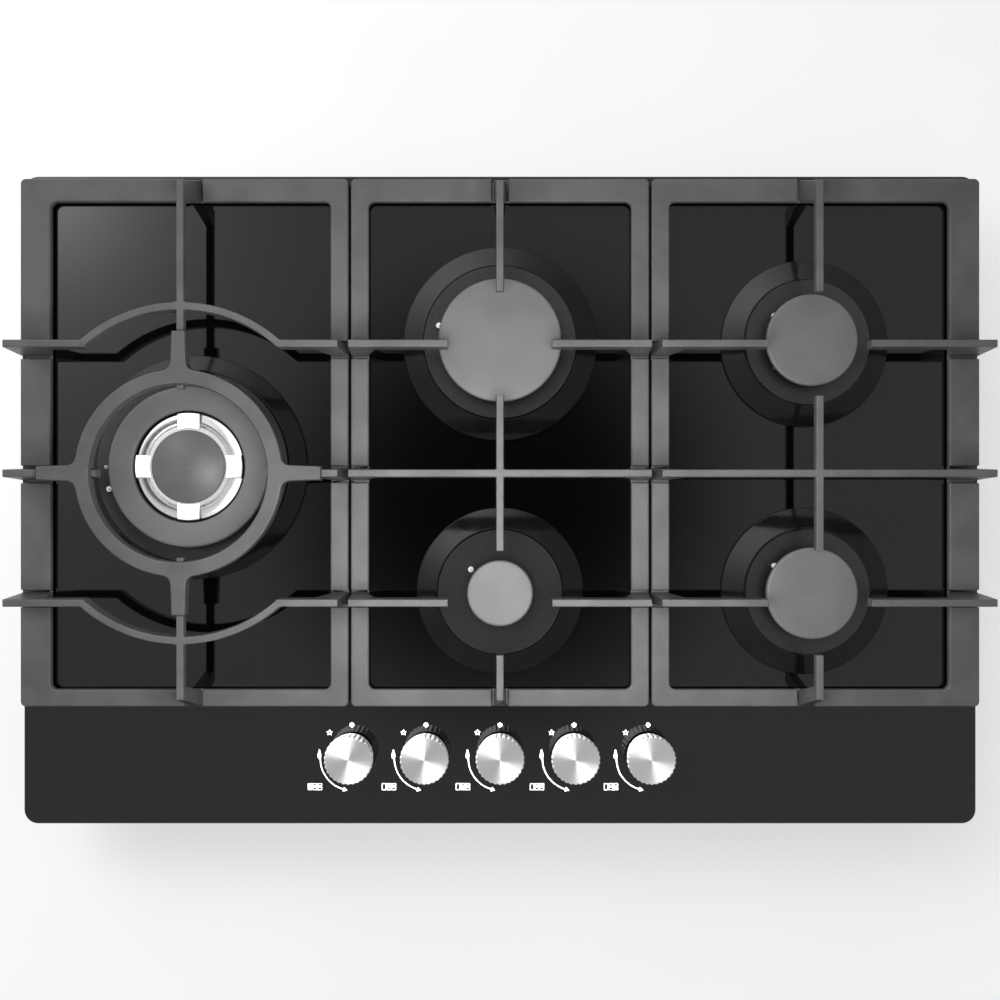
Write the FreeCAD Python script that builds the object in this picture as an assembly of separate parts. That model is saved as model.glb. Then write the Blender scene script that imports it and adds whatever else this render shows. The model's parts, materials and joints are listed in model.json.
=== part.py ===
import FreeCAD, Part
import math
import os

# Built-in gas cooktop: a black glass panel over a steel tray, five gas burners, three cast
# pan supports with a wok ring, and five turn-and-push gas taps with their knobs.
# Millimetres. X points right, Y to the rear and Z up. The origin is the middle of the
# footprint, on the underside of the tray.

# ---------------------------------------------------------------- driving dimensions
# Glass panel
GLASS_WIDTH = 750.0
GLASS_DEPTH = 510.0
GLASS_THICK = 8.0
GLASS_CORNER = 11.0
GLASS_CHAMFER = 0.8

# Steel tray under the glass, with a recess at its rear right corner for the gas inlet
TRAY_SIDE_INSET = 38.0
TRAY_END_INSET = 28.0
TRAY_HEIGHT = 50.0
TRAY_SHEET = 1.0
TRAY_CORNER = 16.0
TRAY_FLANGE = 8.0
RECESS_WIDTH = 60.0
RECESS_DEPTH = 42.0
RECESS_CORNER = 6.0
VENT_LENGTH = 46.0
VENT_WIDTH = 5.0
VENT_PITCH = 14.0
VENT_COUNT = 8
VENT_X = 150.0
VENT_Y = -98.0
VENT_END_RADIUS = 2.4

# Foam seal between the glass and the worktop
SEAL_THICK = 3.0
SEAL_WIDTH = 12.0
SEAL_INSET = 5.0

# Pan supports: a flat rail round the edge, bars above it on legs
SUPPORT_EDGE_INSET = 0.5
SUPPORT_REAR_INSET = 4.0
CONTROL_STRIP = 93.6
SIDE_SUPPORT_EXTRA = 23.1
SUPPORT_GAP = 1.9
REAR_ROW_INSET = 134.0
FRONT_ROW_INSET = 84.4
COLUMN_SHIFT = 2.65
RAIL_THICK = 5.4
RAIL_REAR = 18.1
RAIL_FRONT = 13.5
RAIL_OUTER = 23.6
RAIL_INNER = 14.0
RAIL_CHAMFER = 0.9
RAIL_OUTSIDE_CORNER = 4.0
RAIL_INSIDE_CORNER = 5.0
BAR_TOP = 46.0
BAR_WIDTH = 5.6
BAR_CHAMFER = 0.5
CROSS_BAR_DEPTH = 12.0
STEM_DEPTH = 6.4
FOOT_WIDTH = 9.0
SLOT_WIDTH = 13.6
SLOT_WEB = 1.0
BRACE_RUN = 8.0
SIDE_END_INSET = 3.0
LONG_END_INSET = 12.2
FINGER_GAP = 39.0
CROSSING_FILLET = 1.8
BOW_HALF_CHORD = 73.5
BOW_RISE = 28.1

# Rubber feet under the rails
FOOT_HEIGHT = 2.6
FOOT_RADIUS = 4.8
PEG_RADIUS = 1.8
PEG_LENGTH = 3.0
PEG_CLEAR = 0.05
FOOT_FROM_END = 30.0

# Wok ring, resting on the four fingers of the left support
WOK_FINGER_RADIUS = 63.2
WOK_RING_BORE = 66.0
WOK_RING_WALL = 11.5
WOK_RING_ABOVE = 5.0
WOK_RING_BELOW = 5.0
WOK_ARM_CLEAR = 0.6
WOK_ARM_ROOT = 13.0
WOK_ARM_TIP = 10.6
WOK_ARM_FILLET = 6.0
WOK_RING_CHAMFER = 0.8
WOK_CHANNEL_CLEAR = 0.5

# Burners: heights above the glass that all five share
BURNER_OFFSET = 5.6
DISH_SHEET = 1.5
DISH_RIM = 2.6
DISH_TOP = 10.5
DISH_LAND = 1.5
DISH_BORE = 22.0
SKIRT_THICK = 1.6
COLLAR_DEPTH = 6.0
COLLAR_WALL = 1.5
COLLAR_CLEAR = 0.4
CROWN_TOP = 20.5
CROWN_WALL = 3.0
PORT_WIDTH = 2.2
PORT_DEPTH = 4.6
PORT_PITCH = 6.0
THROAT_BORE = 8.0
THROAT_WALL = 2.0
THROAT_DEPTH = 8.0
CAP_TOP = 26.0
CAP_ROUND = 1.8
CAP_BEVEL = 1.2
CAP_RIB = 3.0
CAP_RIB_WALL = 2.0
CAP_CLEAR = 0.6

# Burner radii, one set for each size
RAPID_DISH = 76.0
RAPID_SKIRT = 59.0
RAPID_CROWN = 40.0
RAPID_CAP = 47.3
RAPID_OPENING = 54.0
RAPID_SCREWS = 46.0
SEMI_DISH = 65.5
SEMI_SKIRT = 48.2
SEMI_CROWN = 29.5
SEMI_CAP = 35.2
SEMI_OPENING = 38.0
SEMI_SCREWS = 31.0
AUX_DISH = 65.5
AUX_SKIRT = 48.2
AUX_CROWN = 20.5
AUX_CAP = 25.3
AUX_OPENING = 34.0
AUX_SCREWS = 27.0
WOK_DISH = 87.8
WOK_SKIRT = 74.0
WOK_OPENING = 70.5
WOK_SCREWS = 60.0

# Triple-crown wok burner: outer ring of flames, chromed inner crown and two caps
WOK_OUTER_CROWN = 57.0
WOK_FACING_CROWN = 47.0
WOK_CROWN_WALL = 2.6
WOK_CROWN_TOP = 18.0
WOK_CAP_TOP = 23.0
WOK_CAP_RADIUS = 62.0
WOK_CAP_BORE = 43.0
INNER_CROWN_RADIUS = 41.5
INNER_CROWN_FLOOR = 2.0
INNER_CROWN_TOP = 22.0
INNER_WALL_BORE = 25.0
INNER_WALL_RADIUS = 31.5
INNER_SLOT = 1.5
SEGMENT_HIGH = 20.5
SEGMENT_LOW = 17.0
BRIDGE_WIDTH = 18.0
BRIDGE_TOP = 22.4
BRIDGE_BORE = 29.0
INNER_CAP_RADIUS = 28.15
INNER_CAP_TOP = 27.0
INNER_CAP_EDGE = 2.2

# Burner bases (mixing cups) hung in the holes of the glass
BASE_CLEAR = 0.8
BASE_LIP = 7.0
BASE_FLANGE = 3.0
BASE_PLATE = 3.0
BASE_RIM = 3.0
CUP_BORE = 16.0
CUP_WALL = 2.5
CUP_FLOOR = 2.0
CUP_BOTTOM = 25.0
AIR_WINDOWS = 3
AIR_WINDOW_START = 30.0
AIR_WINDOW_WIDTH = 14.0
AIR_WINDOW_LOW = 29.0
AIR_WINDOW_HIGH = 43.0
JET_BLOCK = 16.0
JET_BLOCK_DROP = 7.0
JET_THREAD = 3.0
JET_HEX = 5.0
JET_LENGTH = 9.0
JET_ORIFICE = 0.7
JET_THREAD_CLEAR = 0.05
SCREW_RADIUS = 1.9
SCREW_CLEAR = 0.2
SCREW_HEAD = 3.2
SCREW_HEAD_THICK = 1.8
SCREW_REACH = 7.0
SCREWS_PER_BURNER = 3

# Spark electrodes and thermocouples, one of each per burner
SPARK_RADIUS = 2.2
SPARK_TOP = 14.5
SPARK_BELOW = 8.0
PIN_RADIUS = 0.6
PIN_LENGTH = 2.5
SENSOR_RADIUS = 1.5
SENSOR_TOP = 15.0
SENSOR_BELOW = 6.0
PROBE_CLEAR = 0.5
SPARK_LEAD_RADIUS = 1.5
SPARK_LEAD_HEIGHT = 5.5
SENSOR_LEAD_RADIUS = 1.0
SENSOR_LEAD_HEIGHT = 2.2
LEAD_BEND = 8.0
LEAD_RISE_BEND = 4.0

# Where the probes stand: distance out from the crown's wall, and direction in degrees
WOK_PROBE_OUT = 9.0
RAPID_SPARK_OUT = 9.0
RAPID_SENSOR_OUT = 4.0
AUX_SPARK_OUT = 8.1
AUX_SENSOR_OUT = 3.1
SEMI_PROBE_OUT = 3.5
WOK_SPARK_DEGREES = 195.0
WOK_SENSOR_DEGREES = 180.0
RAPID_SPARK_DEGREES = 165.0
RAPID_SENSOR_DEGREES = 195.0
SMALL_SPARK_DEGREES = 142.0
SMALL_SENSOR_DEGREES = 218.0

# Where the leads turn: the thermocouple leads of the rear burners step aside, and all turn in
# lanes behind the taps' magnets; the spark leads cross towards the module on lanes of their own
SENSOR_ASIDE_CENTRE = 32.0
SENSOR_ASIDE_RIGHT = 48.0
SENSOR_LANE_FIRST = 40.0
SENSOR_LANE_STEP = 10.0
SENSOR_LANE_ORDER = (0, 2, 1, 3, 0)
SPARK_ASIDE_WOK = 17.0
SPARK_ASIDE_RIGHT = 28.0
SPARK_LANE_WOK = 100.0
SPARK_LANE_REAR = 18.0
SPARK_LANE_FRONT = -4.0
SPARK_OUTLET = (0, 4, 1, 3, 2)

# Knobs and gas taps
KNOB_COUNT = 5
KNOB_PITCH = 58.3
KNOB_FROM_EDGE = 55.0
KNOB_RADIUS = 19.0
KNOB_HEIGHT = 19.0
KNOB_GAP = 3.8
KNOB_TAPER = 0.4
KNOB_ROUND = 0.9
KNOB_SKIRT_WALL = 2.4
KNOB_SKIRT_DRAFT = 1.0
KNOB_ROOF = 5.0
KNOB_HUB = 6.0
KNOB_HUB_RECESS = 4.0
KNOB_FLUTES = 30
FLUTE_RADIUS = 1.6
FLUTE_DEPTH = 0.45
SPINDLE_RADIUS = 3.0
SPINDLE_FLAT = 2.2
SPINDLE_CLEAR = 0.05
SPINDLE_IN_KNOB = 10.0
SPINDLE_BOTTOM = 28.5
SPINDLE_COLLAR = 5.0
SPINDLE_COLLAR_THICK = 1.5
PUSH_TRAVEL = 3.0
COVER_CLEAR = 0.08
COVER_THICK = 2.2
TAP_RADIUS = 11.0
TAP_BOTTOM = 8.0
TAP_TOP = 41.0
PLUG_BOTTOM = 12.0
PLUG_TOP = 33.0
PLUG_RADIUS_TOP = 7.0
PLUG_RADIUS_BOTTOM = 5.4
PLUG_CLEAR = 0.06
PLUG_LIFT = 0.3
PLUG_PORT = 1.8
MAGNET_RADIUS = 4.5
MAGNET_OFFSET = 13.0
MAGNET_TOP = 22.0
NOZZLE_RADIUS = 4.5
NOZZLE_LENGTH = 13.0
SEAL_HOLE = 7.5
GROMMET_BORE = 3.8
GROMMET_FLANGE = 10.0
GROMMET_FLANGE_THICK = 1.2
GROMMET_CLEAR = 0.1

# Gas pipes
GAS_HEIGHT = 18.0
MANIFOLD_RADIUS = 7.0
MANIFOLD_WALL = 1.5
MANIFOLD_OFFSET = 18.2
MANIFOLD_PAST_TAP = 18.0
MANIFOLD_BEND = 11.0
MANIFOLD_RISE_RUN = 22.0
MANIFOLD_RISE_GAP = 44.0
MANIFOLD_PLUG = 3.0
MANIFOLD_CLEAR = 0.1
SADDLE_WIDTH = 12.0
SADDLE_CLEAR = 0.2
SADDLE_FROM_CORNER = 44.0
TUBE_RADIUS = 3.0
TUBE_WALL = 0.8
TUBE_BEND = 16.0
NUT_RADIUS = 5.0
NUT_LENGTH = 7.0
TUBE_LANE_WOK = 90.0
TUBE_LANE_REAR = 220.0
TUBE_LANE_FRONT = 60.0
INLET_HEIGHT = 33.0
INLET_COLLAR = 9.0
INLET_COLLAR_LENGTH = 7.0
INLET_PIPE_END = 8.0
INLET_BLOCK = 20.0
INLET_BLOCK_CORNER = 3.0
INLET_THREAD = 10.4775
INLET_THREAD_END = 4.0
INLET_THREAD_TOP = 20.0
INLET_BORE = 5.5
INLET_HEX = 12.5
INLET_HEX_THICK = 4.0

# Ignition module, mains gland and worktop clamps
MODULE_WIDTH = 76.0
MODULE_DEPTH = 40.0
MODULE_HEIGHT = 26.0
MODULE_X = -117.0
MODULE_FROM_BACK = 42.0
MODULE_PORT_PITCH = 14.0
MODULE_PORT_RADIUS = 2.6
MODULE_PORT_LENGTH = 5.0
MODULE_CORNER = 3.0
MODULE_LID_STEP = 3.0
MODULE_LID_THICK = 2.0
TERMINAL_LENGTH = 12.0
TERMINAL_WIDTH = 24.0
TERMINAL_HEIGHT = 16.0
GLAND_X = -190.0
GLAND_HEIGHT = 14.0
GLAND_BORE = 3.4
GLAND_NECK = 5.0
GLAND_CLEAR = 0.1
GLAND_HEAD = 8.0
GLAND_HEAD_LENGTH = 8.0
GLAND_BACK = 2.0
CLAMP_Y = 130.0
CLAMP_WIDTH = 16.0
CLAMP_SHEET = 2.0
CLAMP_LOW = 14.0
CLAMP_HIGH = 34.0
CLAMP_REACH = 24.0
CLAMP_TOE = 8.0
CLAMP_SCREW_HEIGHT = 26.0
CLAMP_SCREW_REACH = 7.0

OVER = 1.0          # how far a cutting shape runs past what it cuts
TOUCH = 1e-4        # how far apart two heights may be and still count as one

# ---------------------------------------------------------------- levels and places
UNDER = TRAY_HEIGHT                         # underside of the glass
TOP = UNDER + GLASS_THICK                   # upper face of the glass
RAIL_LOW = TOP + FOOT_HEIGHT
RAIL_HIGH = RAIL_LOW + RAIL_THICK
BAR_HIGH = TOP + BAR_TOP
CUP_RADIUS = CUP_BORE + CUP_WALL
SKIRT_TOP = DISH_TOP + SKIRT_THICK
TRAY_WIDTH = GLASS_WIDTH - 2 * TRAY_SIDE_INSET
TRAY_DEPTH = GLASS_DEPTH - 2 * TRAY_END_INSET
KNOB_X = [KNOB_PITCH * (i - (KNOB_COUNT - 1) / 2) for i in range(KNOB_COUNT)]
KNOB_Y = KNOB_FROM_EDGE - GLASS_DEPTH / 2
MODULE_Y = TRAY_DEPTH / 2 - MODULE_FROM_BACK
MANIFOLD_Y = KNOB_Y - MANIFOLD_OFFSET
INLET_X = TRAY_WIDTH / 2 - RECESS_WIDTH / 2
INLET_Y = TRAY_DEPTH / 2 - RECESS_DEPTH / 2
RECESS_WALL_Y = TRAY_DEPTH / 2 - RECESS_DEPTH

# Edges of the three supports, the rows of bars and the two outer columns of burners: the rear
# and front rows keep their distance from the supports' ends, and the outer columns stand a
# little inward of the middle of their support's opening.
SUPPORT_REAR = GLASS_DEPTH / 2 - SUPPORT_REAR_INSET
SUPPORT_FRONT = CONTROL_STRIP - GLASS_DEPTH / 2
SUPPORT_OUTER = GLASS_WIDTH / 2 - SUPPORT_EDGE_INSET
CENTRE_HALF_WIDTH = (SUPPORT_OUTER - SUPPORT_GAP - SIDE_SUPPORT_EXTRA) / 3
SUPPORT_INNER = CENTRE_HALF_WIDTH + SUPPORT_GAP
REAR_ROW = SUPPORT_REAR - REAR_ROW_INSET
FRONT_ROW = SUPPORT_FRONT + FRONT_ROW_INSET
ROWS = (REAR_ROW, (REAR_ROW + FRONT_ROW) / 2, FRONT_ROW)
COLUMN = (SUPPORT_OUTER - RAIL_OUTER + SUPPORT_INNER + RAIL_INNER) / 2 - COLUMN_SHIFT
WOK_ARM_RADIUS = min(COLUMN - SUPPORT_INNER - RAIL_INNER,
                     ROWS[0] - ROWS[1] + BOW_RISE - BAR_WIDTH / 2) - WOK_ARM_CLEAR

WOK_RING_RADIUS = WOK_RING_BORE + WOK_RING_WALL

# Lanes of the leads and tubes, in the order of the burners' knobs
SENSOR_ASIDE = (0.0, SENSOR_ASIDE_CENTRE, 0.0, SENSOR_ASIDE_RIGHT, 0.0)
SENSOR_LANE = [SENSOR_LANE_FIRST + SENSOR_LANE_STEP * i for i in SENSOR_LANE_ORDER]
SPARK_ASIDE = (SPARK_ASIDE_WOK, 0.0, 0.0, SPARK_ASIDE_RIGHT, 0.0)
SPARK_LANE = (SPARK_LANE_WOK, 0.0, 0.0, SPARK_LANE_REAR, SPARK_LANE_FRONT)
TUBE_LANE = (TUBE_LANE_WOK, TUBE_LANE_REAR, 0.0, TUBE_LANE_REAR, TUBE_LANE_FRONT)


def burner(name, x, y, radii, spark, sensor):
    """A burner's place, its radii and the polar places (radius, degrees) of its probes, which
    are given as (distance out from the crown, degrees)."""
    dish, skirt, crown, cap, opening, screws = radii
    return {"name": name, "x": x, "y": y, "dish": dish, "skirt": skirt, "crown": crown,
            "cap": cap, "opening": opening, "screws": screws,
            "spark": (crown + spark[0], spark[1]), "sensor": (crown + sensor[0], sensor[1])}


RAPID = (RAPID_DISH, RAPID_SKIRT, RAPID_CROWN, RAPID_CAP, RAPID_OPENING, RAPID_SCREWS)
SEMI = (SEMI_DISH, SEMI_SKIRT, SEMI_CROWN, SEMI_CAP, SEMI_OPENING, SEMI_SCREWS)
AUX = (AUX_DISH, AUX_SKIRT, AUX_CROWN, AUX_CAP, AUX_OPENING, AUX_SCREWS)
WOK = (WOK_DISH, WOK_SKIRT, WOK_OUTER_CROWN, WOK_CAP_RADIUS, WOK_OPENING, WOK_SCREWS)
WOK_SPARK = (WOK_PROBE_OUT, WOK_SPARK_DEGREES)
WOK_SENSOR = (WOK_PROBE_OUT, WOK_SENSOR_DEGREES)
RAPID_SPARK = (RAPID_SPARK_OUT, RAPID_SPARK_DEGREES)
RAPID_SENSOR = (RAPID_SENSOR_OUT, RAPID_SENSOR_DEGREES)
AUX_SPARK = (AUX_SPARK_OUT, SMALL_SPARK_DEGREES)
AUX_SENSOR = (AUX_SENSOR_OUT, SMALL_SENSOR_DEGREES)
SEMI_SPARK = (SEMI_PROBE_OUT, SMALL_SPARK_DEGREES)
SEMI_SENSOR = (SEMI_PROBE_OUT, SMALL_SENSOR_DEGREES)

# In the order of their knobs, left to right. Every burner stands a little behind the
# crossing of the bars over it.
BURNERS = [
    burner("wok", -COLUMN, ROWS[1] + BURNER_OFFSET, WOK, WOK_SPARK, WOK_SENSOR),
    burner("rear_centre", 0.0, ROWS[0] + BURNER_OFFSET, RAPID, RAPID_SPARK, RAPID_SENSOR),
    burner("front_centre", 0.0, ROWS[2] + BURNER_OFFSET, AUX, AUX_SPARK, AUX_SENSOR),
    burner("rear_right", COLUMN, ROWS[0] + BURNER_OFFSET, SEMI, SEMI_SPARK, SEMI_SENSOR),
    burner("front_right", COLUMN, ROWS[2] + BURNER_OFFSET, SEMI, SEMI_SPARK, SEMI_SENSOR),
]
WOK_BURNER = BURNERS[0]


# ---------------------------------------------------------------- shape helpers
def vec(x, y, z):
    return FreeCAD.Vector(x, y, z)


UP = vec(0, 0, 1)


def outline(corners, place):
    """Closed wire through corners (a, b) or (a, b, r); r rounds a corner with a tangent arc."""
    ends = []
    count = len(corners)
    for i, corner in enumerate(corners):
        a, b = corner[:2]
        radius = corner[2] if len(corner) > 2 else 0.0
        if radius <= 0:
            ends.append((place(a, b), None, place(a, b)))
            continue
        before = corners[i - 1]
        after = corners[(i + 1) % count]
        back = math.hypot(before[0] - a, before[1] - b)
        ahead = math.hypot(after[0] - a, after[1] - b)
        ua, ub = (before[0] - a) / back, (before[1] - b) / back
        va, vb = (after[0] - a) / ahead, (after[1] - b) / ahead
        half = math.acos(max(-1.0, min(1.0, ua * va + ub * vb))) / 2
        run = radius / math.tan(half)
        wa, wb = ua + va, ub + vb
        scale = (radius / math.sin(half) - radius) / math.hypot(wa, wb)
        ends.append((place(a + ua * run, b + ub * run),
                     place(a + wa * scale, b + wb * scale),
                     place(a + va * run, b + vb * run)))
    edges = []
    for i, (start, middle, end) in enumerate(ends):
        if middle is not None:
            edges.append(Part.Arc(start, middle, end).toShape())
        following = ends[(i + 1) % count][0]
        if end.distanceToPoint(following) > 1e-6:
            edges.append(Part.LineSegment(end, following).toShape())
    return Part.Wire(edges)


def prism(corners, low, high):
    """The plan outline raised from one height to another."""
    wire = outline(corners, lambda a, b: vec(a, b, low))
    return Part.Face(wire).extrude(vec(0, 0, high - low))


def turned(corners, x=0.0, y=0.0, base=0.0):
    """A turned solid about the upright line at (x, y); corners are (radius, height over base)."""
    wire = outline(corners, lambda a, b: vec(x + a, y, base + b))
    return Part.Face(wire).revolve(vec(x, y, 0), UP, 360)


def rectangle(x0, y0, x1, y1, radius=0.0):
    return [(x0, y0, radius), (x1, y0, radius), (x1, y1, radius), (x0, y1, radius)]


def box(x0, y0, z0, x1, y1, z1):
    return Part.makeBox(x1 - x0, y1 - y0, z1 - z0, vec(x0, y0, z0))


def post(x, y, radius, low, high):
    return Part.makeCylinder(radius, high - low, vec(x, y, low))


def rod_y(x, z, radius, y0, y1):
    return Part.makeCylinder(radius, y1 - y0, vec(x, y0, z), vec(0, 1, 0))


def rod_x(y, z, radius, x0, x1):
    return Part.makeCylinder(radius, x1 - x0, vec(x0, y, z), vec(1, 0, 0))


def polar(x, y, place):
    """The point at a radius and an angle in degrees from (x, y)."""
    radius, degrees = place
    angle = math.radians(degrees)
    return x + radius * math.cos(angle), y + radius * math.sin(angle)


def hexagon(x, y, across, low, high):
    """A hexagonal prism whose corners lie at the given radius."""
    corners = [polar(x, y, (across, 60.0 * i)) for i in range(6)]
    return prism(corners, low, high)


def joined(shapes):
    """One solid from shapes that overlap or meet."""
    return shapes[0].fuse(shapes[1:]).removeSplitter()


def group(shapes):
    """Separate solids kept in one piece of the assembly."""
    return Part.makeCompound(shapes)


def edges_at(shape, height):
    """Edges that lie flat at one height."""
    return [e for e in shape.Edges
            if abs(e.BoundBox.ZMin - height) < TOUCH and abs(e.BoundBox.ZMax - height) < TOUCH]


def route(points, bend):
    """A path of straight runs joined by tangent arcs of one radius."""
    spots = [vec(*p) for p in points]
    edges = []
    last = spots[0]
    for before, here, after in zip(spots, spots[1:], spots[2:]):
        into = (before - here).normalize()
        out = (after - here).normalize()
        half = into.getAngle(out) / 2
        run = bend / math.tan(half)
        start = here + into * run
        end = here + out * run
        middle = here + (into + out).normalize() * (bend / math.sin(half) - bend)
        edges.append(Part.LineSegment(last, start).toShape())
        edges.append(Part.Arc(start, middle, end).toShape())
        last = end
    edges.append(Part.LineSegment(last, spots[-1]).toShape())
    return Part.Wire(edges)


def pipe(points, bend, radius, bore=0.0):
    """A round tube, or a solid round lead, along a route."""
    path = route(points, bend)
    heading = vec(*points[1]) - vec(*points[0])

    def sweep(r):
        circle = Part.Wire(Part.Circle(vec(*points[0]), heading, r).toShape())
        return path.makePipeShell([circle], True, False)

    solid = sweep(radius)
    expected = math.pi * radius ** 2 * path.Length
    print("pipe r %.1f length %.0f volume ratio %.4f" % (radius, path.Length, solid.Volume / expected))
    return solid.cut(sweep(bore)) if bore else solid


# ---------------------------------------------------------------- glass, seal and tray
def glass_panel():
    half_w, half_d = GLASS_WIDTH / 2, GLASS_DEPTH / 2
    glass = prism(rectangle(-half_w, -half_d, half_w, half_d, GLASS_CORNER), UNDER, TOP)
    glass = glass.makeChamfer(GLASS_CHAMFER, edges_at(glass, TOP) + edges_at(glass, UNDER))
    holes = [post(b["x"], b["y"], b["opening"], UNDER - OVER, TOP + OVER) for b in BURNERS]
    holes += [post(x, KNOB_Y, SEAL_HOLE, UNDER - OVER, TOP + OVER) for x in KNOB_X]
    return glass.cut(holes)


def worktop_seal():
    x = GLASS_WIDTH / 2 - SEAL_INSET
    y = GLASS_DEPTH / 2 - SEAL_INSET
    outer = prism(rectangle(-x, -y, x, y, GLASS_CORNER), UNDER - SEAL_THICK, UNDER)
    inner_x, inner_y = x - SEAL_WIDTH, y - SEAL_WIDTH
    hollow = prism(rectangle(-inner_x, -inner_y, inner_x, inner_y), UNDER - SEAL_THICK - OVER, UNDER + OVER)
    return outer.cut(hollow)


def tray_plan(inset):
    """The tray's plan with its recess, drawn in by a distance."""
    x = TRAY_WIDTH / 2 - inset
    y = TRAY_DEPTH / 2 - inset
    recess_x = TRAY_WIDTH / 2 - RECESS_WIDTH - inset
    recess_y = RECESS_WALL_Y - inset
    corner = TRAY_CORNER - inset
    small = RECESS_CORNER - inset
    return [(-x, -y, corner), (x, -y, corner), (x, recess_y, small),
            (recess_x, recess_y, RECESS_CORNER + inset), (recess_x, y, small), (-x, y, corner)]


def manifold_saddle(x0, y0, x1, y1):
    """A pressed saddle, welded to the tray's floor, that carries the gas pipe."""
    return box(x0, y0, TRAY_SHEET / 2, x1, y1, GAS_HEIGHT - MANIFOLD_RADIUS - SADDLE_CLEAR)


def bottom_tray():
    flange_x = TRAY_WIDTH / 2 + TRAY_FLANGE
    flange_y = TRAY_DEPTH / 2 + TRAY_FLANGE
    shell = prism(tray_plan(0.0), 0.0, UNDER)
    rim = rectangle(-flange_x, -flange_y, flange_x, flange_y, TRAY_CORNER)
    flange = prism(rim, UNDER - TRAY_SHEET, UNDER)
    tray = shell.fuse(flange).cut(prism(tray_plan(TRAY_SHEET), TRAY_SHEET, UNDER + OVER))

    half = SADDLE_WIDTH / 2
    between = ((KNOB_X[0] + KNOB_X[1]) / 2, (KNOB_X[-2] + KNOB_X[-1]) / 2)
    saddles = [manifold_saddle(x - half, MANIFOLD_Y - half, x + half, MANIFOLD_Y + half)
               for x in between + (INLET_X - SADDLE_FROM_CORNER,)]
    saddles += [manifold_saddle(INLET_X - half, y - half, INLET_X + half, y + half)
                for y in (-CLAMP_Y, 0.0)]
    tray = joined([tray] + saddles)

    cuts = []
    span = VENT_PITCH * (VENT_COUNT - 1)
    for side in (-1, 1):
        for i in range(VENT_COUNT):
            x = side * VENT_X - span / 2 + VENT_PITCH * i
            y0 = VENT_Y - VENT_LENGTH / 2
            slot = rectangle(x - VENT_WIDTH / 2, y0, x + VENT_WIDTH / 2, y0 + VENT_LENGTH, VENT_END_RADIUS)
            cuts.append(prism(slot, -OVER, TRAY_SHEET + OVER))
    cuts.append(rod_y(INLET_X, INLET_HEIGHT, MANIFOLD_RADIUS + SADDLE_CLEAR,
                      RECESS_WALL_Y - TRAY_SHEET - OVER, RECESS_WALL_Y + OVER))
    back = TRAY_DEPTH / 2
    cuts.append(rod_y(GLAND_X, GLAND_HEIGHT, GLAND_NECK + GLAND_CLEAR, back - TRAY_SHEET - OVER, back + OVER))
    wall = TRAY_WIDTH / 2
    hole = SCREW_RADIUS + SCREW_CLEAR
    for y in (-CLAMP_Y, CLAMP_Y):
        for x in (-wall, wall - TRAY_SHEET):
            cuts.append(rod_x(y, CLAMP_SCREW_HEIGHT, hole, x - OVER, x + TRAY_SHEET + OVER))
    return tray.cut(cuts)


# ---------------------------------------------------------------- pan supports
def half_width(z):
    """Half the width of a bar at a height: the casting widens evenly towards its feet."""
    slope = (FOOT_WIDTH - BAR_WIDTH) / 2 / (BAR_HIGH - RAIL_LOW)
    return BAR_WIDTH / 2 + (BAR_HIGH - z) * slope


def bar_section(low):
    """Cross-section (across, z) of a bar from a height up to its chamfered top."""
    shoulder = BAR_HIGH - BAR_CHAMFER
    return [(-half_width(low), low), (half_width(low), low), (half_width(shoulder), shoulder),
            (half_width(BAR_HIGH) - BAR_CHAMFER, BAR_HIGH), (BAR_CHAMFER - half_width(BAR_HIGH), BAR_HIGH),
            (-half_width(shoulder), shoulder)]


def leg(edge, inward, rail, inset, depth):
    """End of a bar that stands on a rail: from its top, down the end face and up the brace."""
    inside = edge + inward * rail
    return [(edge + inward * inset, BAR_HIGH), (edge, RAIL_LOW), (inside, RAIL_LOW), (inside, RAIL_HIGH),
            (inside + inward * BRACE_RUN, BAR_HIGH - depth)]


def tip(end, depth):
    """Free end of a bar."""
    return [(end, BAR_HIGH), (end, BAR_HIGH - depth)]


def bar(along, at, low_end, high_end):
    """A straight bar along X or Y: its side outline cut to the drafted cross-section."""
    side = low_end[::-1] + high_end
    start = min(p[0] for p in side) - OVER
    length = max(p[0] for p in side) + OVER - start
    if along == "x":
        flank = outline(side, lambda u, z: vec(u, at - FOOT_WIDTH, z))
        section = outline(bar_section(RAIL_LOW), lambda v, z: vec(start, at + v, z))
        across, ahead = vec(0, 2 * FOOT_WIDTH, 0), vec(length, 0, 0)
    else:
        flank = outline(side, lambda u, z: vec(at - FOOT_WIDTH, u, z))
        section = outline(bar_section(RAIL_LOW), lambda v, z: vec(at + v, start, z))
        across, ahead = vec(2 * FOOT_WIDTH, 0, 0), vec(0, length, 0)
    return Part.Face(flank).extrude(across).common(Part.Face(section).extrude(ahead))


def crossing(x, y):
    """Small fillets in the four corners where two bars cross."""
    reach = half_width(BAR_HIGH) + CROSSING_FILLET
    low, high = BAR_HIGH - STEM_DEPTH, BAR_HIGH - BAR_CHAMFER
    square = box(x - reach, y - reach, low, x + reach, y + reach, high)
    return square.cut([post(x + i * reach, y + j * reach, CROSSING_FILLET, low - OVER, high + OVER)
                       for i in (-1, 1) for j in (-1, 1)])


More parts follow.
